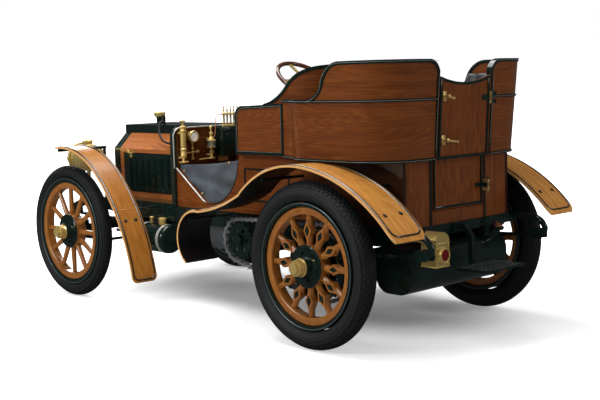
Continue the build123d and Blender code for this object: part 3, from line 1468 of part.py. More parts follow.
STEP_Z = 430
STEP_HALF = 180
with BuildPart() as rear_step:
    with BuildSketch(level(STEP_Z - 12)):
        with Locations((-645, 0)):
            RectangleRounded(2 * (REAR_OVERHANG - 645), 2 * STEP_HALF, 25)
    extrude(amount=12)
    with BuildLine(side(0)) as bracket:
        Polyline((-440, 628), (-470, 628), (-515, 580), (-515, 405), (-690, 405))
    with BuildSketch(Plane(origin=bracket.line @ 0, z_dir=bracket.line % 0)):
        Rectangle(26, 26)
    sweep(path=bracket.line, transition=Transition.RIGHT)
    with BuildSketch(across(RAIL_REAR_S - REAR_MEMBER - 12)):
        with Locations((0, 628)):
            Rectangle(120, 50)
    extrude(amount=12)
rear_step.part.label = "rear_step"
export_step(rear_step.part, "parts/rear_step.step")

with BuildPart() as tail_lamp:
    with BuildSketch(across(-610)):
        with Locations((365, 530)):
            Rectangle(110, 130)
        with Locations((365, 595)):
            Circle(55)
    extrude(amount=100)
    with BuildSketch(across(-625)):
        with Locations((365, 530)):
            Circle(36)
    extrude(amount=15)
    with BuildSketch(across(-512)):
        with Locations((365, 600)):
            Rectangle(30, 30)
    extrude(amount=512 + RAIL_REAR_S - REAR_MEMBER)
tail_lamp.part.label = "tail_lamp"
export_step(tail_lamp.part, "parts/tail_lamp.step")
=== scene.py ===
"""Dresses the brass era car: varnished wood, green paint, brass, leather and rubber."""

from math import atan2, cos, hypot, pi, radians, sin, sqrt

import bmesh
import bpy
from mathutils import Matrix, Vector


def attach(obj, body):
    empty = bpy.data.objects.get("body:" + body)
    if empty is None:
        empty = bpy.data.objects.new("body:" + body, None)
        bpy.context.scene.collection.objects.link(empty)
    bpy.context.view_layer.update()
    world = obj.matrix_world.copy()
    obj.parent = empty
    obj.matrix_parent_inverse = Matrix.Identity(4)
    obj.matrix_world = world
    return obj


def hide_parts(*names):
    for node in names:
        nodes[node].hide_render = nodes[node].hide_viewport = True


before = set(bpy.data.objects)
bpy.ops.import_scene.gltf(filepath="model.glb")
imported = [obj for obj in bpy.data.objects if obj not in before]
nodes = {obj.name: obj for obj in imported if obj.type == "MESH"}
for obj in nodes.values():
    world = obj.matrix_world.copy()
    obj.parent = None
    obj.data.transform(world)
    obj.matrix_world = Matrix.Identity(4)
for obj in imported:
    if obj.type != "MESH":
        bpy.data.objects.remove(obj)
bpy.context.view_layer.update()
scene = bpy.context.scene

# Studio: a seamless pale floor under large soft lights, as a car is photographed for a catalogue.
# The camera stands behind the car's left rear wheel with a long lens, a little above the wheel tops.
CAMERA_PLACE = Vector((-5.254, 4.711, 1.453))
CAMERA_YAW, CAMERA_PITCH, CAMERA_ROLL = -0.755, -0.110, -0.027
FOCAL_PIXELS, PHOTO_WIDTH, SENSOR_WIDTH = 1079.58, 600, 36
FLOOR_HALF = 60
# Painted shadow of the car on the paper, where the floor glows less: its middle, how it is drawn out
# along the car, and its soft edge
SHADE_MIDDLE = (0.02, -0.30, 0.0)
SHADE_LONG = (0.42, 1, 1)
SHADE_NEAR, SHADE_FAR = 0.42, 0.82
SHADE_GLOW, LEAST_GLOW = 0.42, 0.03
FLOOR_NEAR, FLOOR_FAR = 1.25, 2.7
SOFT_SKY, MIRRORED_SKY, SEEN_SKY = 0.42, 0.07, 1.0
WHITE = (1, 1, 1, 1)


def feed(tree, node, inputs):
    """Sets a shader node's inputs; one given as a socket is linked."""
    for key, value in inputs.items():
        if isinstance(value, bpy.types.NodeSocket):
            tree.links.new(value, node.inputs[key])
        else:
            node.inputs[key].default_value = value


def link_node(tree, kind, inputs, **attributes):
    """Adds a shader node with its attributes and inputs."""
    made = tree.nodes.new(kind)
    for key, value in attributes.items():
        setattr(made, key, value)
    feed(tree, made, inputs)
    return made


def calc(tree, operation, first, second=0.0):
    """One sum on two numbers or sockets."""
    return link_node(tree, "ShaderNodeMath", {0: first, 1: second}, operation=operation).outputs[0]


def distance(tree, first, second):
    """Distance between two points."""
    made = link_node(tree, "ShaderNodeVectorMath", {0: first, 1: second}, operation="DISTANCE")
    return made.outputs["Value"]


def mixed(tree, share, first, second):
    """Colour between two colours or sockets."""
    first, second = (
        colour if isinstance(colour, bpy.types.NodeSocket) else (*colour, 1)
        for colour in (first, second)
    )
    made = link_node(tree, "ShaderNodeMix", {0: share, 6: first, 7: second}, data_type="RGBA")
    return made.outputs[2]


def new_finish(name, rough, metal=0.0, coat=0.0):
    """Material with its principled shader; colour and relief come after."""
    material = bpy.data.materials.new(name)
    material.use_nodes = True
    tree = material.node_tree
    bsdf = tree.nodes["Principled BSDF"]
    feed(tree, bsdf, {"Roughness": rough, "Metallic": metal, "Coat Weight": coat})
    feed(tree, bsdf, {"Coat Roughness": 0.05, "Specular IOR Level": 0.06 if coat else 0.5})
    return material, tree, bsdf


def place_of(tree, scale=(1, 1, 1)):
    """Position on the piece in the car's frame, stretched by a scale."""
    coords = link_node(tree, "ShaderNodeTexCoord", {}).outputs["Object"]
    return link_node(tree, "ShaderNodeMapping", {"Vector": coords, "Scale": scale}).outputs[0]


def noise(tree, where, scale, detail=4.0, rough=0.55):
    """Cloudy value between 0 and 1."""
    inputs = {"Vector": where, "Scale": scale, "Detail": detail, "Roughness": rough}
    return link_node(tree, "ShaderNodeTexNoise", inputs).outputs[0]


def ramp(tree, value, low, high):
    """Value spread from 0 at low to 1 at high."""
    inputs = {"Value": value, "From Min": low, "From Max": high}
    made = link_node(tree, "ShaderNodeMapRange", inputs, interpolation_type="SMOOTHSTEP")
    return made.outputs[0]


def cloudy(name, rough, first, second, scale, detail=4.0, coat=0.0):
    """Finish that wanders between two colours in soft clouds."""
    material, tree, bsdf = new_finish(name, rough, coat=coat)
    clouds = noise(tree, place_of(tree), scale, detail)
    feed(tree, bsdf, {"Base Color": mixed(tree, clouds, first, second)})
    return material, tree, bsdf


floor_finish, tree, bsdf = cloudy("studio_floor", 0.6, (0.88, 0.88, 0.885), (0.91, 0.91, 0.91), 3.0)
# The floor glows to the camera least under the car and full white far off: a painted shadow round the
# car.
reach = distance(tree, place_of(tree, SHADE_LONG), SHADE_MIDDLE)
painted_shadow_glow = calc(tree, "MULTIPLY", ramp(tree, reach, SHADE_NEAR, SHADE_FAR), SHADE_GLOW)
painted_shadow_glow = calc(tree, "ADD", painted_shadow_glow, LEAST_GLOW)
glow = calc(tree, "ADD", painted_shadow_glow, ramp(tree, reach, FLOOR_NEAR, FLOOR_FAR))
seen_floor = link_node(tree, "ShaderNodeLightPath", {}).outputs["Is Camera Ray"]
feed(tree, bsdf, {"Emission Color": WHITE, "Specular IOR Level": 0.2})
feed(tree, bsdf, {"Emission Strength": calc(tree, "MULTIPLY", seen_floor, glow)})
floor_mesh = bpy.data.meshes.new("studio_floor")
grown = bmesh.new()
bmesh.ops.create_grid(grown, x_segments=1, y_segments=1, size=FLOOR_HALF)
grown.to_mesh(floor_mesh)
grown.free()
floor_mesh.materials.append(floor_finish)
studio_floor = bpy.data.objects.new("studio_floor", floor_mesh)
scene.collection.objects.link(studio_floor)
studio_floor.visible_glossy = False

world = bpy.data.worlds.new("studio")
scene.world = world
world.use_nodes = True
tree = world.node_tree
rays = link_node(tree, "ShaderNodeLightPath", {}).outputs
skies = [
    link_node(tree, "ShaderNodeBackground", {"Color": WHITE, "Strength": strength}).outputs[0]
    for strength in (SOFT_SKY, MIRRORED_SKY, SEEN_SKY)
]
lit = link_node(tree, "ShaderNodeMixShader", {0: rays["Is Glossy Ray"], 1: skies[0], 2: skies[1]})
seen = {0: rays["Is Camera Ray"], 1: lit.outputs[0], 2: skies[2]}
sky = link_node(tree, "ShaderNodeMixShader", seen)
feed(tree, tree.nodes["World Output"], {"Surface": sky.outputs[0]})
scene.view_settings.view_transform = "Standard"

# Lights: name, place, point looked at, width, length, power
for name, place, target, width, length, power in (
    ("roof_light", (0.6, 0.4, 4.6), (0.2, 0, 0.6), 5.5, 2.6, 330),
    ("left_light", (0.7, 6.2, 3.6), (0.1, 0, 0.7), 3.4, 1.6, 215),
    ("rear_light", (-6.0, -2.6, 3.2), (-0.6, 0, 0.8), 1.6, 2.2, 70),
    ("front_light", (6.2, -1.5, 3.0), (0.8, 0, 0.8), 2.4, 1.8, 110),
):
    lamp = bpy.data.lights.new(name, "AREA")
    lamp.shape = "RECTANGLE"
    lamp.size, lamp.size_y, lamp.energy = width, length, power
    stand = bpy.data.objects.new(name, lamp)
    stand.location = place
    aim = Vector(target) - Vector(place)
    stand.rotation_euler = aim.to_track_quat("-Z", "Y").to_euler()
    scene.collection.objects.link(stand)

level = cos(CAMERA_PITCH)
ahead = Vector((level * cos(CAMERA_YAW), level * sin(CAMERA_YAW), sin(CAMERA_PITCH)))
level_right = ahead.cross(Vector((0, 0, 1))).normalized()
level_up = level_right.cross(ahead)
right = cos(CAMERA_ROLL) * level_right + sin(CAMERA_ROLL) * level_up
up = -sin(CAMERA_ROLL) * level_right + cos(CAMERA_ROLL) * level_up
view = bpy.data.cameras.new("photo_camera")
view.sensor_width = SENSOR_WIDTH
view.lens = FOCAL_PIXELS / PHOTO_WIDTH * SENSOR_WIDTH
camera = bpy.data.objects.new("photo_camera", view)
turned_so = Matrix((right, up, -ahead)).transposed().to_4x4()
camera.matrix_world = Matrix.Translation(CAMERA_PLACE) @ turned_so
scene.collection.objects.link(camera)
scene.camera = camera

# Body panels: thin mahogany boards bent round ash ribs and pinned behind the beading.
# They are grain-filled, stained red-brown and rubbed down under many coats of clear varnish.
MAHOGANY = ((0.078, 0.0190, 0.0034), (0.127, 0.0335, 0.0058), (0.200, 0.0610, 0.0120))
LEVEL_GRAIN = (1.2, 1.2, 16)
UPRIGHT_GRAIN = (9, 16, 1.2)
PORES_PER_METRE = 14.0
RING_TURNS = 190.0
PORE_RELIEF = (0.0006, 0.12)
# Colour of the painted shade on the body side under the tonneau's overhang
OVERHANG_SHADE_TONE = (0.010, 0.0042, 0.0018)


def toned(colour, share):
    """Colour made darker or lighter by a share."""
    return [share * part for part in colour]


def spot_of(tree):
    """The three coordinates of a position on the piece."""
    return link_node(tree, "ShaderNodeSeparateXYZ", {0: place_of(tree)}).outputs[:]


def relief(tree, bsdf, height, depth, strength):
    """Bump on a finish from a height."""
    inputs = {"Height": height, "Distance": depth, "Strength": strength}
    feed(tree, bsdf, {"Normal": link_node(tree, "ShaderNodeBump", inputs).outputs[0]})


def wood_colour(tree, along, bands, tones):
    """Wood colour from long figure, rings and fine pores along a stretched position."""
    dark, mid, light = tones
    inputs = {"Vector": along, "Scale": bands, "Distortion": 14.0, "Detail": 3.0, "Detail Scale": 0.7}
    waves = link_node(tree, "ShaderNodeTexWave", inputs, bands_direction="Z").outputs[1]
    pores = noise(tree, along, PORES_PER_METRE, 6.0, 0.7)
    hills = noise(tree, along, 0.42, 2.0, 0.45)
    rings = calc(tree, "SINE", calc(tree, "MULTIPLY", hills, RING_TURNS))
    figure = noise(tree, along, 1.7, 5.0, 0.6)
    colour = mixed(tree, ramp(tree, figure, 0.25, 0.75), dark, mid)
    colour = mixed(tree, calc(tree, "MULTIPLY", waves, 0.18), colour, light)
    for value, low, high, share, tone in (
        (rings, 0.1, 1.0, 0.34, dark),
        (rings, -0.2, -1.0, 0.22, light),
        (pores, 0.50, 0.28, 0.40, toned(dark, 0.5)),
    ):
        layer = calc(tree, "MULTIPLY", ramp(tree, value, low, high), share)
        colour = mixed(tree, layer, colour, tone)
    return colour, pores


def wooden(name, grain, tones, rough=0.38, coat=0.75, bands=1.1, marks=None, pitted=PORE_RELIEF):
    """Varnished wood with its pores and the marks painted over it.

    The grain is a stretch, short along the fibres, or a function that places it. The marks are a
    function of the finish, the wood's colour and the three coordinates."""
    material, tree, bsdf = new_finish(name, rough, coat=coat)
    along = grain(tree) if callable(grain) else place_of(tree, grain)
    colour, pores = wood_colour(tree, along, bands, tones)
    if marks:
        colour = marks(tree, bsdf, colour, *spot_of(tree))
    feed(tree, bsdf, {"Base Color": colour})
    relief(tree, bsdf, pores, *pitted)
    return material


def overhang_painted_shade(tree, bsdf, colour, x, y, z):
    """Painted shade on the body side under the tonneau's overhang, darker towards the rear."""
    share = calc(tree, "MULTIPLY", ramp(tree, x, -0.85, -1.25), 0.88)
    return mixed(tree, share, colour, OVERHANG_SHADE_TONE)


def dress(finish, *names):
    """Gives solids their finish."""
    for name in names:
        for slot in nodes[name].material_slots:
            slot.material = finish


mahogany = wooden("mahogany_level", LEVEL_GRAIN, MAHOGANY)
dress(mahogany, "front_seat_sides", "front_seat_back", "tonneau_walls")
# The tonneau base is the same mahogany darkened to 40 percent: painted shade under the tonneau's
# overhang.
painted_shade_tones = [toned(tone, 0.40) for tone in MAHOGANY]
dress(wooden("mahogany_base_painted_shade", LEVEL_GRAIN, painted_shade_tones, 0.5, 0.25), "tonneau_base")
# The body sides carry painted shade towards the rear, where the tonneau overhangs them.
side_wood_shaded = wooden("mahogany_side_painted_shade", LEVEL_GRAIN, MAHOGANY, 0.40, 0.45, marks=overhang_painted_shade)
dress(side_wood_shaded, "body_sides")
mahogany_upright = wooden("mahogany_upright", UPRIGHT_GRAIN, MAHOGANY)
dress(mahogany_upright, "rear_panel", "seat_boxes", "floor")

# Frame, springs, axles, gearbox, beading and levers: pressed, rolled and forged steel, riveted up.
# All of it wears brushed coach enamel, a green so dark that it looks black away from the light.
GREEN = ((0.0030, 0.0075, 0.0058), (0.0060, 0.0135, 0.0105))
green, tree, bsdf = cloudy("green_enamel", 0.22, *GREEN, 7.0, coat=0.7)
relief(tree, bsdf, noise(tree, place_of(tree), 90.0, 2.0), 0.0008, 0.10)
dress(green, "body_beading", "frame_rails", "frame_cross_members", "bonnet_sills", "radiator_shell")
dress(green, "leaf_springs", "spring_irons", "front_axle", "rear_axle", "knuckle_left")
dress(green, "knuckle_right", "tie_rod", "transmission", "rear_step", "driver_controls")

# Bonnet rails and chamfer boards: planed ash, mitred at the corners and screwed to the sills.
# They are stained warm and varnished, with the grain running along the bonnet.
BONNET_ASH = ((0.19, 0.052, 0.0125), (0.33, 0.105, 0.026), (0.43, 0.16, 0.045))
dress(wooden("bonnet_ash", (1.3, 14, 14), BONNET_ASH), "bonnet_frame")

# Wheels: artillery wheels with ash spokes driven into a felloe and clamped by the hub flanges.
# The grain runs out along each spoke and round the felloe.
X_FRONT, X_REAR, WHEEL_Y = 1.3, -1.1, 0.735
FRONT_AXLE, REAR_AXLE = 0.455, 0.460
SPOKE_ASH = ((0.165, 0.054, 0.010), (0.255, 0.093, 0.018), (0.34, 0.140, 0.032))
SIDES = (1, -1)
HANDS = (("left", 1), ("right", -1))
WHEELS = [
    (end, hand, x, axle, sides)
    for end, x, axle in (("front", X_FRONT, FRONT_AXLE), ("rear", X_REAR, REAR_AXLE))
    for hand, sides in HANDS
]


def wheel_grain(x_axle, z_axle, felloe):
    """Grain of a wheel: along each spoke, and round the axle outside the felloe's inner radius."""

    def grain(tree):
        x, y, z = spot_of(tree)
        fore = calc(tree, "SUBTRACT", x, x_axle)
        rise = calc(tree, "SUBTRACT", z, z_axle)
        turn = calc(tree, "ARCTAN2", rise, fore)
        square = [calc(tree, "MULTIPLY", part, part) for part in (fore, rise)]
        reach = calc(tree, "SQRT", calc(tree, "ADD", *square))
        across = calc(tree, "MULTIPLY", y, 22.0)
        spoke = {0: calc(tree, "MULTIPLY", turn, 6.0), 1: across, 2: reach}
        rim = {0: turn, 1: across, 2: calc(tree, "MULTIPLY", reach, 24.0)}
        spoke, rim = (
            link_node(tree, "ShaderNodeCombineXYZ", inputs).outputs[0] for inputs in (spoke, rim)
        )
        choice = {0: calc(tree, "GREATER_THAN", reach, felloe), 4: spoke, 5: rim}
        return link_node(tree, "ShaderNodeMix", choice, data_type="VECTOR").outputs[1]

    return grain


for end, x, axle, felloe in (
    ("front", X_FRONT, FRONT_AXLE, 0.296),
    ("rear", X_REAR, REAR_AXLE, 0.281),
):
    wheel_ash = wooden(f"ash_{end}_wheel", wheel_grain(x, axle, felloe), SPOKE_ASH, coat=1.0)
    dress(wheel_ash, f"wheel_{end}_left", f"wheel_{end}_right")

# Hubs, bonnet metal and tanks: turned and folded steel in green enamel with brass caps and catches.
# The brass is polished by hand and lacquered, so it looks warm and not quite mirror-bright.
POLISH = 0.72
BRASS = (0.80, 0.575, 0.195)
GREEN_GROUND = (*GREEN, 0.24, 0.0)
BRASS_ZONE = (toned(BRASS, 0.78), BRASS, 0.22, POLISH)
COPPER_ZONE = ((0.40, 0.17, 0.075), (0.55, 0.26, 0.12), 0.28, POLISH)
FAR = 9.0


def polished(name, colour, rough):
    """Polished metal with rubbing marks and slight tarnish in soft clouds."""
    material, tree, bsdf = new_finish(name, rough, metal=POLISH)
    cloud = noise(tree, place_of(tree), 18.0)
    feed(tree, bsdf, {"Base Color": mixed(tree, cloud, toned(colour, 0.72), colour)})
    feed(tree, bsdf, {"Roughness": ramp(tree, cloud, 1.6 * rough + 0.9, -0.4)})
    relief(tree, bsdf, noise(tree, place_of(tree), 160.0, 2.0), 0.0003, 0.10)
    return material


def within(**limits):
    """Rule of place: 1 where each named coordinate lies between two limits; side is y's size."""

    def rule(tree, x, y, z):
        values = {"x": x, "y": y, "z": z, "side": calc(tree, "ABSOLUTE", y)}
        inside = 1.0
        for key, (low, high) in limits.items():
            inside = calc(tree, "MULTIPLY", inside, calc(tree, "GREATER_THAN", values[key], low))
            inside = calc(tree, "MULTIPLY", inside, calc(tree, "LESS_THAN", values[key], high))
        return inside

    return rule


def zoned(name, ground, *zones):
    """Finish of a piece made of several metals: a ground and zones found by place.

    The ground and each zone give two colours, roughness and metal; a zone also gives a rule of
    place, a function of the tree and the three coordinates that returns 1 inside it."""
    material, tree, bsdf = new_finish(name, 0.3, coat=0.7)
    spot = spot_of(tree)
    cloud = noise(tree, place_of(tree), 14.0)
    colour = mixed(tree, cloud, *ground[:2])
    levels = ground[2:]
    for first, second, *zone_levels, rule in zones:
        inside = rule(tree, *spot)
        colour = mixed(tree, inside, colour, mixed(tree, cloud, first, second))
        levels = [
            link_node(tree, "ShaderNodeMix", {0: inside, 2: old, 3: new}).outputs[0]
            for old, new in zip(levels, zone_levels)
        ]
    feed(tree, bsdf, {"Base Color": colour, "Roughness": levels[0], "Metallic": levels[1]})
    relief(tree, bsdf, noise(tree, place_of(tree), 110.0, 2.0), 0.0004, 0.04)
    return material


hubs = [f"hub_{end}_{hand}" for end, hand, *rest in WHEELS]
flaps = ["bonnet_flap_left", "bonnet_flap_right"]
tank_cap = within(y=(-FAR, -0.295), z=(0.588, FAR))
side_tank_caps = within(side=(0.460, FAR), z=(0.527, FAR))
for name, names, zone, rule in (
    ("hub_enamel_and_brass", hubs, BRASS_ZONE, within(side=(0.8145, FAR))),
    ("deck_enamel_and_brass", ["bonnet_deck"], BRASS_ZONE, within(x=(1.15, FAR), z=(1.222, FAR))),
    ("flap_enamel_and_brass", flaps, BRASS_ZONE, within(side=(0.3102, FAR), z=(0.940, FAR))),
    ("tank_enamel_and_copper", ["fuel_tank"], COPPER_ZONE, tank_cap),
    ("side_tank_enamel_and_brass", ["side_tank"], BRASS_ZONE, side_tank_caps),
):
    dress(zoned(name, GREEN_GROUND, (*zone, rule)), *names)

# Engine, radiator tubes, starting handle and undertray: cast iron, drawn tube and bare sheet.
# They are left unpainted, oiled and worn; the tray is bolted up under the frame.
steel = polished("oiled_steel", (0.20, 0.20, 0.205), 0.38)
dress(steel, "drive_chains", "engine", "starting_handle", "radiator_core")
dress(polished("tray_sheet", (0.15, 0.165, 0.175), 0.45), "undertray")

# Tyres: beaded-edge tyres of black rubber, moulded with rows of small tread blocks.
# The carcass is turned in one piece; the blocks stand on it and touch the road.
TYRES = {"front": (0.090, 0.372), "rear": (0.120, 0.348)}
BLOCK_ROWS = ((0, 0.0), (17, 0.5), (-17, 0.5), (34, 0.0), (-34, 0.0), (50, 0.5), (-50, 0.5))
BLOCKS_ROUND = 84
BLOCK_DEEP, BLOCK_LONG, BLOCK_WIDE = 0.0075, 0.0235, 0.115
SIDE_RIBS = (68, 92, 104)
RIB_HEIGHT, TREAD_SUNK = 0.0016, 0.004
rubber, tree, bsdf = cloudy(
    "rubber", 0.66, (0.0045, 0.005, 0.006), (0.0105, 0.0115, 0.013), 30.0, 5.0
)
bsdf.inputs["Specular IOR Level"].default_value = 0.32
relief(tree, bsdf, noise(tree, place_of(tree), 300.0, 2.0), 0.0006, 0.2)


def ride_on(made, body):
    """Puts a piece into the scene, riding on a body of the car."""
    scene.collection.objects.link(made)
    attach(made, body)
    return made


def new_piece(name, grown, finishes, body="chassis", sharp=35):
    """Piece from a mesh under work, smooth up to an angle, riding on a body of the car."""
    bmesh.ops.recalc_face_normals(grown, faces=grown.faces)
    mesh = bpy.data.meshes.new(name)
    grown.to_mesh(mesh)
    grown.free()
    for finish in finishes:
        mesh.materials.append(finish)
    mesh.shade_smooth()
    mesh.set_sharp_from_angle(angle=radians(sharp))
    return ride_on(bpy.data.objects.new(name, mesh), body)


def paint_new(grown, before, finish):
    """Gives the faces made since a count their finish number."""
    grown.faces.ensure_lookup_table()
    for face in grown.faces[before:]:
        face.material_index = finish


def turned(grown, profile, frame_of, segments=32, finish=0):
    """Turned form: (distance along the axis, radius) points spun round the local z of a frame."""
    before = len(grown.faces)
    points = [grown.verts.new(frame_of @ Vector((radius, 0, along))) for along, radius in profile]
    edges = [grown.edges.new(pair) for pair in zip(points, points[1:])]
    bmesh.ops.spin(
        grown,
        geom=points + edges,
        cent=frame_of.translation,
        axis=frame_of.to_3x3() @ Vector((0, 0, 1)),
        angle=2 * pi,
        steps=segments,
        use_merge=True,
    )
    bmesh.ops.remove_doubles(grown, verts=grown.verts[-len(profile) * segments :], dist=1e-6)
    paint_new(grown, before, finish)


def upright(x, y, z):
    """Frame at a point with its local z up."""
    return Matrix.Translation((x, y, z))


def facing(point, direction):
    """Frame at a point with its local z along a direction."""
    return Matrix.Translation(point) @ Vector(direction).to_track_quat("Z", "Y").to_matrix().to_4x4()


def block(grown, where, size, bevel=0.0, finish=0):
    """Block of a size centred in a frame, its edges eased by a bevel."""
    before = len(grown.faces)
    made = bmesh.ops.create_cube(grown, size=1, matrix=where @ Matrix.Diagonal((*size, 1)))
    if bevel:
        bmesh.ops.bevel(
            grown,
            geom=list({edge for corner in made["verts"] for edge in corner.link_edges}),
            offset=bevel,
            offset_type="OFFSET",
            affect="EDGES",
            segments=2,
            profile=0.5,
            material=-1,
        )
    paint_new(grown, before, finish)


def rod(grown, start, end, radius, segments=12, finish=0, tip=None):
    """Round rod between two points."""
    before = len(grown.faces)
    start, end = Vector(start), Vector(end)
    bmesh.ops.create_cone(
        grown,
        cap_ends=True,
        segments=segments,
        radius1=radius,
        radius2=radius if tip is None else tip,
        depth=(end - start).length,
        matrix=facing((start + end) / 2, end - start),
    )
    paint_new(grown, before, finish)


for end, hand, x, radius, sides in WHEELS:
    section, rim = TYRES[end]
    axle = upright(x, sides * WHEEL_Y, radius) @ Matrix.Rotation(pi / 2, 4, "X")
    tube = section / 2
    middle = radius - tube
    profile = []
    for step in range(71):
        angle = radians(-140 + 4 * step)
        swell = tube - (TREAD_SUNK if abs(angle) < radians(62) else 0.0)
        if min(abs(abs(angle) - radians(rib)) for rib in SIDE_RIBS) < 0.01:
            swell += RIB_HEIGHT
        profile.append((swell * sin(angle), max(rim, middle + swell * cos(angle))))
    grown = bmesh.new()
    turned(grown, profile, axle, 96)
    for lean, shift in BLOCK_ROWS:
        tip = upright(middle, 0, 0) @ Matrix.Rotation(radians(-lean), 4, "Y")
        for spot in range(BLOCKS_ROUND):
            turn = Matrix.Rotation(2 * pi * (spot + shift) / BLOCKS_ROUND, 4, "Z")
            place = axle @ turn @ tip @ upright(tube - TREAD_SUNK, 0, 0)
            block(grown, place, (BLOCK_DEEP, BLOCK_LONG, section * BLOCK_WIDE))
    name = f"tyre_{end}_{hand}"
    tyre = new_piece(f"treaded_{name}", grown, [rubber], f"{end}_wheel_{hand}", 40)
    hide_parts(name)
    dress(rubber, name)

# Rim edges: the steel rims are rolled over to grip the beads of the tyres.
# The roll is coloured a pale grey metal all round: a painted highlight along the rolled edge.
RIM_ROLLS = {"front": (0.036, 0.366), "rear": (0.048, 0.342)}
ROLL = ((-0.001, -0.0042), (0.0022, -0.003), (0.0034, 0), (0.0022, 0.003), (-0.001, 0.0042))
roll_highlight_finish = polished("rim_roll_painted_highlight", (0.105, 0.125, 0.130), 0.24)
for end, hand, x, axle, sides in WHEELS:
    face, reach = RIM_ROLLS[end]
    profile = [(face + out, reach + wide) for out, wide in ROLL]
    grown = bmesh.new()
    for out in (sides, -sides):
        turned(grown, profile, facing((x, sides * WHEEL_Y, axle), (0, out, 0)), 96)
    wheel = f"{end}_wheel_{hand}"
    new_piece(f"rim_edges_{end}_{hand}", grown, [roll_highlight_finish], wheel, 60)

# Drive chains: bushed roller chain, its links in pairs of inner and outer plates on riveted pins.
# It runs from the jackshaft sprocket back to the ring bolted to the rear wheel.
CHAIN_LINKS = 56
CHAIN_Y = 0.625
CHAIN_STEP = 0.04445
JACK = (-0.385, 0.522)
HUB = (X_REAR, REAR_AXLE)
JACK_PITCH = CHAIN_STEP / (2 * sin(pi / 18))
HUB_PITCH = CHAIN_STEP / (2 * sin(pi / 30))
PLATE_THICK, PLATE_HIGH, PLATE_ROUND = 0.0032, 0.015, 0.0125
INNER_PLATE, OUTER_PLATE = 0.0115, 0.0175
# Half length and radius of each pin and of each roller on it
PIN_AND_ROLLER = ((0.0195, 0.0052, 10), (0.0095, 0.0105, 12))


def chain_point(share):
    """X and z on the chain's pitch line for a share of one round, from the upper front."""
    gap = HUB_PITCH - JACK_PITCH
    straight = sqrt(hypot(JACK[0] - HUB[0], JACK[1] - HUB[1]) ** 2 - gap**2)
    slope = atan2(JACK[1] - HUB[1], JACK[0] - HUB[0])
    lean = atan2(gap, straight)
    nose, tail = JACK_PITCH * (pi - 2 * lean), HUB_PITCH * (pi + 2 * lean)
    upper, lower = slope + pi / 2 - lean, slope - pi / 2 + lean
    along = (share % 1.0) * (nose + tail + 2 * straight)
    centre, radius, onward = JACK, JACK_PITCH, 0.0
    if along < nose:
        turn = upper - along / JACK_PITCH
    elif along < nose + straight:
        turn, onward = lower, along - nose
    else:
        centre, radius = HUB, HUB_PITCH
        along -= nose + straight
        if along < tail:
            turn = lower - along / HUB_PITCH
        else:
            turn, onward = upper, along - tail
    heading = turn - pi / 2
    return (
        centre[0] + radius * cos(turn) + onward * cos(heading),
        centre[1] + radius * sin(turn) + onward * sin(heading),
    )


chain_steel = polished("chain_steel", (0.36, 0.365, 0.38), 0.30)
pins = [chain_point(link / CHAIN_LINKS) for link in range(CHAIN_LINKS)]
half_plate = Vector((0, PLATE_THICK / 2, 0))
grown = bmesh.new()
for sides in SIDES:
    y = sides * CHAIN_Y
    for link, (x, z) in enumerate(pins):
        next_x, next_z = pins[(link + 1) % CHAIN_LINKS]
        length = hypot(next_x - x, next_z - z)
        outer = OUTER_PLATE if link % 2 else INNER_PLATE
        lie = upright((x + next_x) / 2, y, (z + next_z) / 2)
        lie = lie @ Matrix.Rotation(-atan2(next_z - z, next_x - x), 4, "Y")
        for cheek in (-outer, outer):
            block(grown, lie @ upright(0, cheek, 0), (length, PLATE_THICK, PLATE_HIGH))
            for pin in (-length / 2, length / 2):
                at = lie @ Vector((pin, cheek, 0))
                rod(grown, at - half_plate, at + half_plate, PLATE_ROUND, 14)
        for half, radius, segments in PIN_AND_ROLLER:
            rod(grown, (x, y - half, z), (x, y + half, z), radius, segments)
chains = new_piece("roller_chains", grown, [chain_steel])
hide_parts("drive_chains")

# Fenders: one steamed ash board each, bent over a form and bolted to its stays.
# They are varnished clear above and painted black below; the sawn edges stay pale.
ASH = ((0.35, 0.140, 0.027), (0.50, 0.222, 0.048), (0.62, 0.300, 0.076))
# The rear boards are the ash lightened as painted light, and the front boards the ash darkened as
# painted shade.
REAR_ASH_PAINTED_LIGHT = [toned(tone, 1.12) for tone in ASH]
FRONT_ASH_PAINTED_SHADE = [(0.66 * tone[0], 0.58 * tone[1], 0.44 * tone[2]) for tone in ASH]
PALE_EDGE = (0.50, 0.27, 0.095)
BLACK_UNDERSIDE = (0.006, 0.006, 0.006)


def fender_marks(x_wheel, z_wheel, tones):
    """Marks on a fender board: cloudy figure, the black side towards the wheel and pale edges."""

    def marks(tree, bsdf, colour, x, y, z):
        bsdf.inputs["Coat Roughness"].default_value = 0.26
        figure = noise(tree, place_of(tree, (5, 13, 5)), 2.4, 4.0, 0.65)
        clouds = calc(tree, "MULTIPLY", ramp(tree, figure, 0.42, 0.72), 0.60)
        colour = mixed(tree, clouds, colour, toned(tones[0], 0.85))
        normal = link_node(tree, "ShaderNodeNewGeometry", {}).outputs["Normal"]
        face = link_node(tree, "ShaderNodeSeparateXYZ", {0: normal}).outputs
        fore = calc(tree, "MULTIPLY", face[0], calc(tree, "SUBTRACT", x, x_wheel))
        rise = calc(tree, "MULTIPLY", face[2], calc(tree, "SUBTRACT", z, z_wheel))
        inward = calc(tree, "LESS_THAN", calc(tree, "ADD", fore, rise), 0.0)
        colour = mixed(tree, inward, colour, BLACK_UNDERSIDE)
        edge = calc(tree, "GREATER_THAN", calc(tree, "ABSOLUTE", face[1]), 0.6)
        return mixed(tree, edge, colour, PALE_EDGE)

    return marks


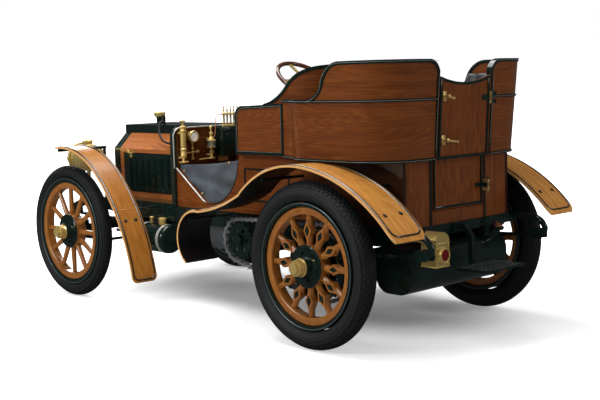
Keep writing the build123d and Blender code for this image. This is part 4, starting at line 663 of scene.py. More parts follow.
for end, x, axle, tones in (
    ("rear", X_REAR, REAR_AXLE, REAR_ASH_PAINTED_LIGHT),
    ("front", X_FRONT, FRONT_AXLE, FRONT_ASH_PAINTED_SHADE),
):
    marks = fender_marks(x, axle, tones)
    board = wooden(f"{end}_fender_ash", (1.3, 20, 1.3), tones, coat=0.40, marks=marks)
    dress(board, f"{end}_fenders")

# Fender bolts: round-headed iron bolts on washers, in pairs through board and stay.
# They are drawn down into the varnish and painted dark green.
DOWN, FORWARD, BACK = (0, 0, -1), (1, 0, 0), (-1, 0, 0)
WASHER = 0.0012


def dome(grown, point, out, radius, segments=14):
    """Round-headed bolt on its washer, standing out from a face."""
    profile = [(0.0, radius * 1.5), (WASHER, radius * 1.5), (WASHER, radius)]
    for step in range(5):
        angle = pi / 2 * step / 4
        profile.append((WASHER + 0.6 * radius * sin(angle), max(radius * cos(angle), 1e-5)))
    turned(grown, profile, facing(point, out), segments)


def station(s):
    """X of a station measured forward from the rear axle."""
    return s - 1.1


def met(name, start, direction):
    """Where a ray first meets a solid: whether it does, the point and the face's normal."""
    return nodes[name].ray_cast(Vector(start), Vector(direction))[:3]


grown = bmesh.new()
for sides in SIDES:
    for name, s, spread in (
        ("rear_fenders", -0.545, (0.615, 0.735)),
        ("front_fenders", 1.700, (0.685, 0.765)),
    ):
        for y in spread:
            hit, place, normal = met(name, (station(s), sides * y, 3.0), DOWN)
            dome(grown, place, normal, 0.0085)
new_piece("fender_bolts", grown, [green])

# Bead lines: a fine line along the dark green beading, drawn as a coach painter's pinstripe but
# coloured grey as the bead's highlight: partly painted highlight.
# They follow the belts round the tonneau, the seat sides and the door posts.
FLARE = 0.030
TONNEAU_LOW, TONNEAU_HIGH = 1.027, 1.545
TONNEAU_HALF, TONNEAU_REAR, REAR_CORNER = 0.615, -0.462, 0.250
# The wall bends out in an S between these two stations, from the width of the seat sides
BEND_FRONT, BEND_REAR, SEAT_HALF = 0.45, 0.14, 0.500
WING_ROUND = 0.145
BELT_LINES, BELT_OUT = (1.0185, 1.3385), 0.0072
WING_LINE, WING_OUT = 1.5395, 0.0055
POST_LINE, POST_Y = ((-1.5665, 1.04), (-1.5974, 1.45)), 0.237
SEAT_LINE_Y = 0.5055
SEAT_LINE = (
    (0.857, 1.04), (0.857, 1.24), (0.852, 1.266), (0.838, 1.286),
    (0.812, 1.298), (0.462, 1.312), (0.462, 1.04), (0.857, 1.04),
)
# Grey of the line: the painted highlight on the round bead
bead_highlight_line = cloudy(
    "bead_line_painted_highlight", 0.4, (0.115, 0.130, 0.120), (0.180, 0.195, 0.180), 60.0, coat=0.5
)[0]


def wire(name, runs, radius, finish, smooth=True):
    """Round wire, pipe or painted line along one or more runs of points."""
    curve = bpy.data.curves.new(name, "CURVE")
    curve.dimensions = "3D"
    curve.bevel_depth = radius
    curve.bevel_resolution = 3
    curve.resolution_u = 8
    curve.use_fill_caps = True
    for points in runs:
        spline = curve.splines.new("NURBS" if smooth else "POLY")
        spline.points.add(len(points) - 1)
        for spot, point in zip(spline.points, points):
            spot.co = (*point, 1)
        if smooth:
            spline.order_u = 3
            spline.use_endpoint_u = True
    curve.materials.append(finish)
    return ride_on(bpy.data.objects.new(name, curve), "chassis")


def flare(z):
    """How far the tonneau leans out at a height."""
    return FLARE * (z - TONNEAU_LOW) / (TONNEAU_HIGH - TONNEAU_LOW)


def tonneau_run(z, out, sides):
    """Points round one side of the tonneau at a height, from the front strip to the door post."""
    start, half = SEAT_HALF + out, TONNEAU_HALF + flare(z) + out
    rear, turn = TONNEAU_REAR - flare(z) - out, REAR_CORNER + out
    length, rise = (BEND_FRONT - BEND_REAR) / 2, (half - start) / 2
    bend = (length**2 + rise**2) / (2 * rise)
    sweep = 2 * atan2(rise, length)
    run = []
    for step in range(9):
        angle = sweep * step / 8
        run.append((BEND_FRONT - bend * sin(angle), start + bend * (1 - cos(angle))))
    for step in range(1, 9):
        angle = sweep * (8 - step) / 8
        run.append((BEND_REAR + bend * sin(angle), half - bend * (1 - cos(angle))))
    for step in range(13):
        angle = pi / 2 * step / 12
        run.append((rear + turn - turn * sin(angle), half - turn + turn * cos(angle)))
    run.append((rear, 0.236))
    return [Vector((station(s), sides * y, z)) for s, y in run]


stripes = []
for sides in SIDES:
    stripes += [tonneau_run(z, BELT_OUT, sides) for z in BELT_LINES]
    wing = []
    for step in range(17):
        s = 0.112 - 0.262 * step / 16
        if s > -0.018:
            z = 1.345 + WING_ROUND - sqrt(WING_ROUND**2 - (0.120 - s) ** 2)
        else:
            z = TONNEAU_HIGH - WING_ROUND + sqrt(WING_ROUND**2 - min(WING_ROUND, 0.150 + s) ** 2)
        y = sides * (TONNEAU_HALF + flare(z) + WING_OUT)
        wing.append(Vector((station(s), y, z - WING_OUT)))
    level_run = tonneau_run(WING_LINE, WING_OUT, sides)
    wing += [point for point in level_run if point.x < station(-0.16)]
    stripes.append(wing)
    stripes.append([(station(s), sides * SEAT_LINE_Y, z) for s, z in SEAT_LINE])
    stripes.append([(x, sides * POST_Y, z) for x, z in POST_LINE])
wire("bead_lines_painted_highlight", stripes, 0.0011, bead_highlight_line, False)

# Fender beads: half-round iron strip, enamelled and pinned round the edge of each fender board.
# It keeps water from running off the side and shows as a bright line where it turns to the light.
BEAD_IN, BEAD_RADIUS = 0.015, 0.0055
# Inner and outer edge of each board
REAR_BOARD, FRONT_BOARD = (0.550, 0.800), (0.630, 0.820)
CORNER = [radians(15 * step) for step in range(7)]
bead_gloss, tree, bsdf = cloudy("bead_gloss", 0.18, *GREEN, 9.0, coat=1.0)
feed(tree, bsdf, {"Coat IOR": 1.9, "Coat Roughness": 0.14})


def bead_run(name, sides, rays):
    """Points where rays meet a fender, on one side of the car."""
    return [met(name, (x, sides * y, z), way)[1] for (x, y, z), way in rays]


runs = []
for sides in SIDES:
    for y, turn in ((REAR_BOARD[0] + BEAD_IN, 1), (REAR_BOARD[1] - BEAD_IN, -1)):
        rays = [((2.0, y, z), BACK) for z in (0.42, 0.46, 0.50, 0.54, 0.58, 0.62, 0.65)]
        rays += [((station(1.03 - 0.041 * step), y, 2.0), DOWN) for step in range(41)]
        for angle in CORNER:
            s, in_y = -0.615 - 0.030 * sin(angle), y + turn * 0.045 * (1 - cos(angle))
            rays.append(((station(s), in_y, 2.0), DOWN))
        rays.append(((station(-0.645), 0.675, 2.0), DOWN))
        runs.append(bead_run("rear_fenders", sides, rays))
    for y, turn in ((FRONT_BOARD[0] + BEAD_IN, 1), (FRONT_BOARD[1] - BEAD_IN, -1)):
        rays = [((station(2.425 - 0.03 * step), y, 2.0), DOWN) for step in range(15)]
        rays += [((station(1.0), y, 0.880 - 0.032 * step), FORWARD) for step in range(21)]
        for angle in CORNER:
            in_y, z = y + turn * 0.034 * (1 - cos(angle)), 0.236 - 0.034 * sin(angle)
            rays.append(((station(1.0), in_y, z), FORWARD))
        rays.append(((station(1.0), 0.725, 0.202), FORWARD))
        runs.append(bead_run("front_fenders", sides, rays))
wire("fender_beads", runs, BEAD_RADIUS, bead_gloss, False)

# Leather aprons: two hides laced between dash and seat to close the entry in front.
# Each hangs inside the body side from its taut upper edge and bellies a little between its studs.
APRON_REAR, APRON_FRONT = 0.872, 1.530
APRON_LOW, APRON_HIGH = 0.692, 0.984
APRON_Y = 0.4305
HIDE_THICK = 0.0024
apron_hide, tree, bsdf = new_finish("apron_hide", 0.40)
rumple = noise(tree, place_of(tree, (1.0, 1.0, 1.6)), 6.0, 3.0, 0.5)
pebbles = {"Vector": place_of(tree), "Scale": 380.0}
pebbles = link_node(tree, "ShaderNodeTexVoronoi", pebbles).outputs[0]
worn = ramp(tree, rumple, 0.25, 0.75)
hide_colour = mixed(tree, worn, (0.036, 0.046, 0.058), (0.070, 0.086, 0.104))
feed(tree, bsdf, {"Base Color": hide_colour})
relief(tree, bsdf, calc(tree, "ADD", calc(tree, "MULTIPLY", rumple, 16.0), pebbles), 0.0011, 0.65)
dress(apron_hide, "leather_aprons")
for hand, sides in HANDS:
    grown = bmesh.new()
    bmesh.ops.create_grid(grown, x_segments=72, y_segments=36, size=1)
    for corner in grown.verts:
        u, v = (corner.co.x + 1) / 2, (corner.co.y + 1) / 2
        s = APRON_REAR + u * (APRON_FRONT - APRON_REAR)
        top = APRON_HIGH - 0.056 * u - 0.012 * sin(pi * u)
        belly = 0.006 * sin(pi * u) * sin(pi * v)
        fold = 0.0055 * sin(9 * u - 5 * v + 1.6 * sin(6 * v)) * sin(pi * v) ** 0.7
        crease = 0.006 * sin(23 * u + 11 * v * v) * v * (1 - v)
        y = sides * (APRON_Y - belly - fold - crease)
        corner.co = (station(s), y, APRON_LOW + v * (top - APRON_LOW))
    apron = new_piece(f"leather_apron_{hand}", grown, [apron_hide], sharp=180)
    thick = apron.modifiers.new("hide_thickness", "SOLIDIFY")
    thick.thickness = HIDE_THICK
    thick.offset = 0.0
    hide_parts("leather_aprons")

# Apron studs and edge trim: brass studs hold the hide, and a plated half-round strip is pinned
# along the sloping edge of each body side where passengers climb in.
ENTRY_SLOPE = ((1.535, 0.905), (1.268, 0.710), (1.250, 0.701), (1.232, 0.699))
ROUND_S, ROUND_Z, ROUND_RADIUS = 1.200, 0.985, 0.293
STUDS, STUD_Y = ((1.028, 0.958), (1.306, 0.749), (1.490, 0.888)), 0.4335
SLOPE_Y, ROUND_Y = 0.4605, 0.4600
brass = polished("brass", BRASS, 0.22)
nickel = polished("nickel", (0.62, 0.61, 0.58), 0.20)
grown = bmesh.new()
for sides in SIDES:
    for s, z in STUDS:
        dome(grown, Vector((station(s), sides * STUD_Y, z)), (0, sides, 0), 0.0055)
new_piece("apron_studs", grown, [brass])
slopes = [[(station(s), sides * SLOPE_Y, z + 0.001) for s, z in ENTRY_SLOPE] for sides in SIDES]
wire("entry_trim_bright", slopes, 0.0048, nickel)
sweep = [radians(angle) for angle in range(-4, 91, 5)]
sweep = [(ROUND_S - ROUND_RADIUS * sin(a), ROUND_Z - ROUND_RADIUS * cos(a)) for a in sweep]
rounds = [[(station(s), sides * ROUND_Y, z) for s, z in sweep] for sides in SIDES]
wire("entry_trim_dark", rounds, 0.0036, green)

# Door furniture: brass lever and keep on the free edge, bolted through the door's frame.
# Half-round beads, painted dark green, run along the edges of the door and its hollow top.
DOOR_LEAN = 0.03 / 0.518
DOOR_BELT = 1.012
LEVER_Y = 0.176
# Height and length of each lever
LEVERS = ((1.115, 0.085), (1.350, 0.040))
LEVER_BOSS = (
    (0, 0.012), (0.004, 0.012), (0.006, 0.008), (0.024, 0.007), (0.026, 0.010), (0.034, 0.010),
    (0.037, 0.001),
)
LEVER_KNOB = ((-0.008, 0.0005), (-0.006, 0.005), (0, 0.0082), (0.006, 0.005), (0.008, 0.0005))
# The door's top edge is a hollow arc round a point above it
TOP_ARC_Z, TOP_ARC_RADIUS = 2.092, 0.677


def door_face(z, out=0.0):
    """X of the door's outer face at a height."""
    if z < DOOR_BELT:
        return station(-0.425) - out
    return station(TONNEAU_REAR) - DOOR_LEAN * (z - TONNEAU_LOW) - out


grown = bmesh.new()
for z, length in LEVERS:
    face = Vector((door_face(z), LEVER_Y, z))
    block(grown, Matrix.Translation(face + Vector((-0.0025, 0, 0))), (0.005, 0.030, 0.052), 0.0015)
    turned(grown, LEVER_BOSS, facing(face + Vector((-0.004, 0, 0)), BACK), 20)
    at = face + Vector((-0.032, 0, 0))
    knob = at + Vector((0, -length, -0.012))
    rod(grown, at, knob, 0.0062, 14, 0, 0.0048)
    turned(grown, LEVER_KNOB, facing(knob, (0, 1, 0)), 16)
    for up_down in (-0.019, 0.019):
        dome(grown, face + Vector((-0.005, 0.0, up_down)), BACK, 0.0032)
new_piece("door_levers", grown, [brass], "rear_door")

grown = bmesh.new()
for low, high in ((0.738, 1.010), (1.026, 1.447)):
    for y in (-0.207, 0.207):
        lower, upper = Vector((door_face(low), y, low)), Vector((door_face(high), y, high))
        along = upper - lower
        block(grown, facing((lower + upper) / 2, along), (0.016, 0.012, along.length), 0.004)
block(grown, upright(door_face(0.745), 0, 0.745), (0.012, 0.426, 0.014), 0.004)
arc = []
for step in range(15):
    angle = radians(-18.2 + 2.6 * step)
    z = TOP_ARC_Z - TOP_ARC_RADIUS * cos(angle)
    arc.append(Vector((door_face(z), TOP_ARC_RADIUS * sin(angle), z)))
for first, second in zip(arc[:-1], arc[1:]):
    rod(grown, first, second, 0.0078)
new_piece("door_beading", grown, [green], "rear_door")

# Dash board: mahogany with dark green edge posts and a plated strip over its rounded corners.
# The boards are screwed to an iron frame behind.
X_DASH = station(1.535)
DASH_HALF, DASH_TOP, DASH_ROUND = 0.478, 1.168, 0.058
PANEL_RELIEF = (0.0005, 0.1)


def dash_marks(tree, bsdf, colour, x, y, z):
    """Dark green posts at both edges of the dash."""
    return mixed(tree, within(side=(0.452, FAR))(tree, x, y, z), colour, GREEN[1])


# The dash's mahogany is the body's darkened to 55 percent: painted shade.
painted_shade_tones = [toned(tone, 0.55) for tone in MAHOGANY]
dash_wood = wooden("dash_wood", (2.0, 2.0, 18), painted_shade_tones, 0.40, 0.35, 1.0, dash_marks, PANEL_RELIEF)
dress(dash_wood, "dash")
edge = [(DASH_HALF, 0.905), (DASH_HALF, 1.112)]
for angle in range(10, 90, 10):
    out, rise = DASH_ROUND * cos(radians(angle)), DASH_ROUND * sin(radians(angle))
    edge.append((DASH_HALF - DASH_ROUND + out, DASH_TOP - DASH_ROUND + rise))
edge += [(DASH_HALF - DASH_ROUND, DASH_TOP), (0.0, DASH_TOP)]
edge += [(-y, z) for y, z in reversed(edge[:-1])]
wire("dash_edge_strip", [[(X_DASH - 0.001, y, z) for y, z in edge]], 0.0045, nickel, False)

# Dash instruments: hand pump, pressure gauge, sight lubricator and a rack of drip oilers.
# They are turned and soldered from brass and copper, with glass sleeves, and screwed to the dash.
BRASS_PART, WHITE_PART, GLASS_PART, GREEN_PART, COPPER_PART, BLACK_PART = range(6)
PUMP = (
    (0.940, 0.012), (0.940, 0.029), (0.945, 0.030), (0.950, 0.012), (0.968, 0.010), (0.972, 0.017),
    (0.978, 0.0205), (0.990, 0.0215), (0.994, 0.0195), (1.018, 0.0195), (1.022, 0.0225),
    (1.030, 0.0225), (1.034, 0.0190), (1.140, 0.0190), (1.144, 0.0225), (1.152, 0.0225),
    (1.156, 0.0190), (1.164, 0.0215), (1.176, 0.0215), (1.180, 0.012), (1.184, 0.0055),
    (1.206, 0.0055), (1.208, 0.009), (1.216, 0.009), (1.218, 0.001),
)
BEZEL = (
    (0, 0.031), (0.026, 0.033), (0.030, 0.0375), (0.040, 0.0385), (0.046, 0.036), (0.046, 0.0315),
    (0.040, 0.031),
)
LUBRICATOR = (
    (0.954, 0.010), (0.954, 0.024), (0.959, 0.024), (0.962, 0.009), (0.990, 0.008), (0.994, 0.014),
    (1.004, 0.014), (1.008, 0.008), (1.022, 0.007), (1.026, 0.030), (1.031, 0.031), (1.034, 0.012),
    (1.036, 0.007), (1.066, 0.007), (1.068, 0.012), (1.071, 0.031), (1.077, 0.031), (1.080, 0.018),
    (1.092, 0.015), (1.098, 0.009), (1.112, 0.008), (1.116, 0.013), (1.124, 0.013), (1.128, 0.006),
    (1.150, 0.005), (1.153, 0.009), (1.160, 0.0105), (1.168, 0.008), (1.173, 0.001),
)
OILER = (
    (1.172, 0.005), (1.178, 0.0085), (1.186, 0.0085), (1.188, 0.004), (1.190, 0.003), (1.226, 0.003),
    (1.228, 0.0085), (1.240, 0.0085), (1.252, 0.0075), (1.258, 0.005), (1.266, 0.0045),
    (1.268, 0.0068), (1.274, 0.0068), (1.276, 0.003), (1.286, 0.003), (1.288, 0.0062),
    (1.295, 0.0055), (1.297, 0.0005),
)
dial_white = cloudy("dial_enamel", 0.25, (0.80, 0.80, 0.78), (0.88, 0.88, 0.86), 40.0, coat=0.6)[0]
copper = polished("copper", (0.72, 0.34, 0.18), 0.24)
glass, tree, bsdf = cloudy("sight_glass", 0.06, (0.72, 0.78, 0.74), (0.90, 0.93, 0.90), 30.0)
feed(tree, bsdf, {"Transmission Weight": 0.9, "IOR": 1.45})


def on_dash(out, y, z):
    """Point at a distance behind the dash board's face."""
    return Vector((X_DASH - out, y, z))


grown = bmesh.new()
turned(grown, PUMP, upright(*on_dash(0.030, 0.420, 0.0)), 28)
gauge = facing(on_dash(0.001, 0.338, 1.108), BACK)
turned(grown, BEZEL, gauge, 40)
turned(grown, [(0.039, 0.0315), (0.0395, 0.0312), (0.0396, 0.0001)], gauge, 40, WHITE_PART)
for mark in range(21):
    turn = gauge @ Matrix.Rotation(radians(-135 + 13.5 * mark), 4, "Z")
    out, length = (0.0262, 0.006) if mark % 5 == 0 else (0.0272, 0.004)
    block(grown, turn @ upright(0, out, 0.0398), (0.0011, length, 0.0004), 0, BLACK_PART)
pointer = gauge @ Matrix.Rotation(radians(150), 4, "Z") @ upright(0, 0.009, 0.0405)
block(grown, pointer, (0.0018, 0.026, 0.0008), 0, BLACK_PART)
turned(grown, [(0.0398, 0.0032), (0.043, 0.0028), (0.0432, 0.0001)], gauge, 14)
for z, radius in ((1.066, 0.009), (1.030, 0.010), (1.000, 0.008), (0.962, 0.010)):
    union = [(-0.006, 0.003), (-0.006, radius), (0.006, radius), (0.006, 0.003)]
    turned(grown, union, upright(*on_dash(0.02, 0.338, z)), 6)
union = [(-0.008, 0.004), (-0.008, 0.009), (0.008, 0.009), (0.008, 0.004)]
turned(grown, union, facing(on_dash(0.024, 0.300, 1.006), (0, 1, 0)), 8)
lubricator = upright(*on_dash(0.042, 0.196, 0.0))
turned(grown, LUBRICATOR, lubricator, 28)
turned(grown, [(1.031, 0.0265), (1.071, 0.0265)], lubricator, 28, GLASS_PART)
# Pump handle and foot, gauge pipe and its branch, lubricator pipe
for start, end, radius, part in (
    ((0.030, 0.394, 1.211), (0.030, 0.446, 1.211), 0.0045, BRASS_PART),
    ((0.030, 0.385, 0.944), (0.030, 0.455, 0.944), 0.006, BRASS_PART),
    ((0.02, 0.338, 1.075), (0.02, 0.338, 0.958), 0.0045, BRASS_PART),
    ((0.024, 0.402, 1.000), (0.024, 0.300, 1.006), 0.0045, BRASS_PART),
    ((0.042, 0.196, 0.957), (0.042, 0.300, 0.953), 0.005, COPPER_PART),
):
    rod(grown, on_dash(*start), on_dash(*end), radius, 12, part)
# Brackets of pump and lubricator, oil box with lid and panel, rack of the oilers, bare brass plate
for place, size, bevel, part in (
    ((0.015, 0.420, 0.973), (0.030, 0.046, 0.014), 0.002, BRASS_PART),
    ((0.015, 0.420, 1.133), (0.030, 0.046, 0.014), 0.002, BRASS_PART),
    ((0.021, 0.196, 0.979), (0.042, 0.022, 0.012), 0.002, BRASS_PART),
    ((0.021, 0.196, 1.085), (0.042, 0.022, 0.012), 0.002, BRASS_PART),
    ((0.045, 0.015, 1.062), (0.090, 0.240, 0.194), 0.006, GREEN_PART),
    ((0.046, 0.015, 1.140), (0.094, 0.244, 0.010), 0.003, GREEN_PART),
    ((0.091, 0.015, 1.052), (0.003, 0.190, 0.130), 0.001, GREEN_PART),
    ((0.045, -0.005, 1.166), (0.020, 0.205, 0.014), 0.003, BRASS_PART),
    ((0.045, -0.005, 1.244), (0.016, 0.205, 0.012), 0.002, BRASS_PART),
    ((0.0015, 0.066, 0.945), (0.003, 0.084, 0.034), 0.0008, BRASS_PART),
    ((0.003, 0.066, 0.9295), (0.0025, 0.084, 0.003), 0.0006, BRASS_PART),
    ((0.003, 0.066, 0.9605), (0.0025, 0.084, 0.003), 0.0006, BRASS_PART),
    ((0.003, 0.0255, 0.945), (0.0025, 0.003, 0.034), 0.0006, BRASS_PART),
    ((0.003, 0.1065, 0.945), (0.0025, 0.003, 0.034), 0.0006, BRASS_PART),
):
    block(grown, upright(*on_dash(*place)), size, bevel, part)
for oiler in range(7):
    stem = upright(*on_dash(0.045, 0.083 - 0.0293 * oiler, 0.0))
    turned(grown, OILER, stem, 14)
    turned(grown, [(1.187, 0.0078), (1.227, 0.0078)], stem, 14, GLASS_PART)
parts = [brass, dial_white, glass, green, copper, rubber]
instruments = new_piece("dash_fittings", grown, parts)
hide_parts("dash_instruments")
dress(brass, "dash_instruments")

# Oil pipes: drawn copper from the rack to the lubricator and from the oil box down to the floor.
# They are bent by hand and held at their ends by union nuts.
RACK_PIPE = (
    (0.045, 0.098, 1.244), (0.045, 0.118, 1.246), (0.045, 0.150, 1.235), (0.045, 0.158, 1.195),
    (0.045, 0.160, 1.130), (0.044, 0.172, 1.092), (0.043, 0.188, 1.084),
)
FLOOR_PIPE = ((0.030, 0.970), (0.030, 0.930), (0.010, 0.880), (0.010, 0.700))
runs = [[on_dash(*point) for point in RACK_PIPE]]
for pipe in range(6):
    runs.append([on_dash(out, -0.030 - 0.013 * pipe, z) for out, z in FLOOR_PIPE])
wire("oil_pipes", runs, 0.0032, copper)

# Bonnet fittings: a flared filler cap of spun brass on its green neck, and turned brass knobs.
# The neck is riveted to the deck; the knobs are screwed into the wooden rails.
NECK = ((1.168, 0.030), (1.176, 0.030), (1.180, 0.0248), (1.205, 0.0255), (1.220, 0.028))
CAP = (
    (1.220, 0.0285), (1.228, 0.036), (1.236, 0.041), (1.246, 0.0425), (1.250, 0.041),
    (1.252, 0.030), (1.2525, 0.0005),
)
SIDE_KNOB = (
    (0, 0.008), (0.003, 0.008), (0.004, 0.004), (0.011, 0.004), (0.014, 0.009), (0.020, 0.0095),
    (0.025, 0.006), (0.026, 0.0005),
)
TOP_KNOB = ((0, 0.006), (0.004, 0.006), (0.006, 0.003), (0.007, 0.0005))
grown = bmesh.new()
filler = upright(station(2.330), 0.0, 0.0)
turned(grown, NECK, filler, 32, 1)
turned(grown, CAP, filler)
for sides in SIDES:
    for s in (1.612, 2.362):
        turned(grown, SIDE_KNOB, facing((station(s), sides * 0.310, 0.690), (0, sides, 0)), 18)
    turned(grown, TOP_KNOB, upright(station(1.95), sides * 0.2085, 1.085), 14)
new_piece("bonnet_knobs", grown, [brass, green])

# Front and rear cushions: horsehair under buttoned leather, one for each place.
# The hide swells between rows of buttons that are tied down through the stuffing.
CUSHION_LOW, CUSHION_HIGH = 0.987, 1.102
CUSHION_ROUND, TIED_BAND, BUTTON_TIE = 0.030, 0.012, 0.010
CUSHION_GRID, MOST_SWELL, BLOWN_FRAMES = 0.0085, 0.022, 18
leather, tree, bsdf = new_finish("leather", 0.42)
hide = place_of(tree)
pebbles = link_node(tree, "ShaderNodeTexVoronoi", {"Vector": hide, "Scale": 420.0}).outputs[0]
creases = noise(tree, hide, 26.0, 6.0, 0.65)
hide_colour = mixed(tree, creases, (0.0085, 0.0105, 0.0140), (0.021, 0.025, 0.032))
feed(tree, bsdf, {"Base Color": hide_colour})
relief(tree, bsdf, calc(tree, "ADD", pebbles, creases), 0.0012, 0.30)
dress(leather, "seat_cushions", "seat_squabs")


def take_shape(pad):
    """Gives a piece the mesh that its modifiers make, and takes them off."""
    graph = bpy.context.evaluated_depsgraph_get()
    pad.data = bpy.data.meshes.new_from_object(pad.evaluated_get(graph))
    pad.modifiers.clear()


def make_even(pad, size):
    """Remakes a piece's mesh with faces of one size."""
    even = pad.modifiers.new("even_mesh", "REMESH")
    even.mode = "VOXEL"
    even.voxel_size = size
    take_shape(pad)


def smooth_all(mesh):
    """Shades every face of a mesh smooth."""
    for face in mesh.polygons:
        face.use_smooth = True


def blow_up(pad, buttons):
    """Blows a pad up as cloth, held at its foot and at its buttons."""
    make_even(pad, CUSHION_GRID)
    start = [corner.co.copy() for corner in pad.data.vertices]
    tied = pad.vertex_groups.new(name="tied")
    for corner in pad.data.vertices:
        held = corner.co.z < CUSHION_LOW + TIED_BAND
        if corner.co.z > CUSHION_HIGH - TIED_BAND:
            x, y, z = corner.co
            held = held or any(hypot(x - a, y - b) < BUTTON_TIE for a, b in buttons)
        if held:
            tied.add([corner.index], 1.0, "REPLACE")
    cloth = pad.modifiers.new("hide", "CLOTH")
    settings = cloth.settings
    settings.quality = 4
    settings.mass = 0.3
    settings.tension_stiffness = settings.compression_stiffness = 12
    settings.bending_stiffness = 0.4
    settings.use_pressure = True
    settings.uniform_pressure_force = 4.0
    settings.effector_weights.gravity = 0.0
    settings.vertex_group_mass = "tied"
    cloth.collision_settings.use_collision = False
    cloth.point_cache.frame_start, cloth.point_cache.frame_end = 1, BLOWN_FRAMES
    for frame_number in range(1, BLOWN_FRAMES + 1):
        scene.frame_set(frame_number)
    take_shape(pad)
    scene.frame_set(1)
    for corner, first in zip(pad.data.vertices, start):
        step = corner.co - first
        if step.length > MOST_SWELL:
            corner.co = first + step * (MOST_SWELL / step.length)
    smooth_all(pad.data)


def cushion(name, s, y, length, width, rows, columns):
    """Stuffed cushion and the places of its buttons: a rounded pad blown up against them."""
    grown = bmesh.new()
    middle = upright(station(s), y, (CUSHION_LOW + CUSHION_HIGH) / 2)
    block(grown, middle, (length, width, CUSHION_HIGH - CUSHION_LOW), CUSHION_ROUND)
    pad = new_piece(name, grown, [leather], sharp=180)
    buttons = [
        (station(s) + length * ((i + 0.5) / columns - 0.5), y + width * ((j + 0.5) / rows - 0.5))
        for i in range(columns)
        for j in range(rows)
    ]
    blow_up(pad, buttons)
    round_off = pad.modifiers.new("round_off", "SUBSURF")
    round_off.levels = round_off.render_levels = 1
    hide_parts("seat_cushions")
    return buttons


button_spots = []
for hand, sides in HANDS:
    button_spots += cushion(f"front_cushion_{hand}", 0.575, sides * 0.212, 0.530, 0.396, 3, 4)
    button_spots += cushion(f"rear_cushion_{hand}", -0.130, sides * 0.333, 0.450, 0.172, 1, 4)
grown = bmesh.new()
for x, y in button_spots:
    dome(grown, Vector((x, y, CUSHION_HIGH - 0.0005)), (0, 0, 1), 0.0085)
new_piece("cushion_buttons", grown, [leather])

# Squabs: the same leather in upright stuffed pleats round the seat back and the tonneau.
# Each pleat is sewn to a canvas backing, so the hide is drawn in along every seam.
PLEAT, PLEAT_DEEP, SQUAB_GRID = 0.086, 0.011, 0.009
# Corner of each seat in plan: station and side of its centre, middle radius of the pad
SEAT_CORNER, TONNEAU_CORNER = (0.415, 0.253, 0.145), (-0.212, 0.375, 0.200)
squab = bpy.data.objects.new("pleated_squabs", nodes["seat_squabs"].data.copy())
ride_on(squab, "chassis")
make_even(squab, SQUAB_GRID)
grown = bmesh.new()
grown.from_mesh(squab.data)
axes = {"use_axis_x": True, "use_axis_y": True, "use_axis_z": True}
for sweep in range(4):
    bmesh.ops.smooth_vert(grown, verts=grown.verts, factor=0.5, **axes)
grown.normal_update()
for corner in grown.verts:
    s, y = corner.co.x - station(0), abs(corner.co.y)
    s_turn, y_turn, reach = SEAT_CORNER if s > 0.15 else TONNEAU_CORNER
    if y <= y_turn and s < s_turn:
        along = y
    elif s < s_turn:
        along = y_turn + reach * atan2(y - y_turn, s_turn - s)
    else:
        along = y_turn + reach * pi / 2 + s - s_turn
    draw_in = PLEAT_DEEP * (1 - abs(sin(pi * along / PLEAT)) ** 0.6)
    corner.co -= corner.normal * (draw_in + 0.001)
grown.to_mesh(squab.data)
grown.free()
squab.data.materials.clear()
squab.data.materials.append(leather)
smooth_all(squab.data)
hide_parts("seat_squabs")

# Tail lamp: a soldered brass box with an arched roof, a ringed ruby lens and a side bull's eye.
# It hangs on an iron from the rear member.
LAMP_X, LAMP_S, LAMP_SIDE, LAMP_EYE = station(-0.610), -0.560, 0.365, 0.530
RUBY_ZONE = ((0.05, 0.002, 0.002), (0.11, 0.004, 0.004), 0.05, 0.0)
LENS_HALF = 0.031
LENS_RING = (
    (0, 0.044), (0.006, 0.044), (0.010, 0.040), (0.017, 0.0395), (0.020, 0.036), (0.019, 0.032),
    (0.0152, 0.031),
)
EYE_RING = ((0, 0.027), (0.006, 0.027), (0.010, 0.022), (0.009, 0.019), (0.004, 0.018))
lens = within(x=(-FAR, station(-0.622)), y=(LAMP_SIDE - LENS_HALF, LAMP_SIDE + LENS_HALF))
lamp_brass = (toned(BRASS, 0.62), toned(BRASS, 0.85), 0.26, POLISH)
tail_lamp_finish = zoned("tail_lamp_brass", lamp_brass, (*RUBY_ZONE, lens))
dress(tail_lamp_finish, "tail_lamp")
grown = bmesh.new()
turned(grown, LENS_RING, facing((LAMP_X, LAMP_SIDE, LAMP_EYE), BACK), 40)
side_eye = facing((station(LAMP_S), LAMP_SIDE + 0.055, LAMP_EYE), (0, 1, 0))
turned(grown, EYE_RING, side_eye, 28)
turned(grown, [(0.004, 0.018), (0.007, 0.012), (0.008, 0.0005)], side_eye, 28, 1)
for z in (0.468, 0.592):
    block(grown, upright(station(LAMP_S), LAMP_SIDE, z), (0.105, 0.115, 0.006), 0.002)
for y in (-0.046, 0.046):
    for z in (0.480, 0.582):
        dome(grown, Vector((LAMP_X, LAMP_SIDE + y, z)), BACK, 0.0042)
new_piece("tail_lamp_rings", grown, [brass, tail_lamp_finish])

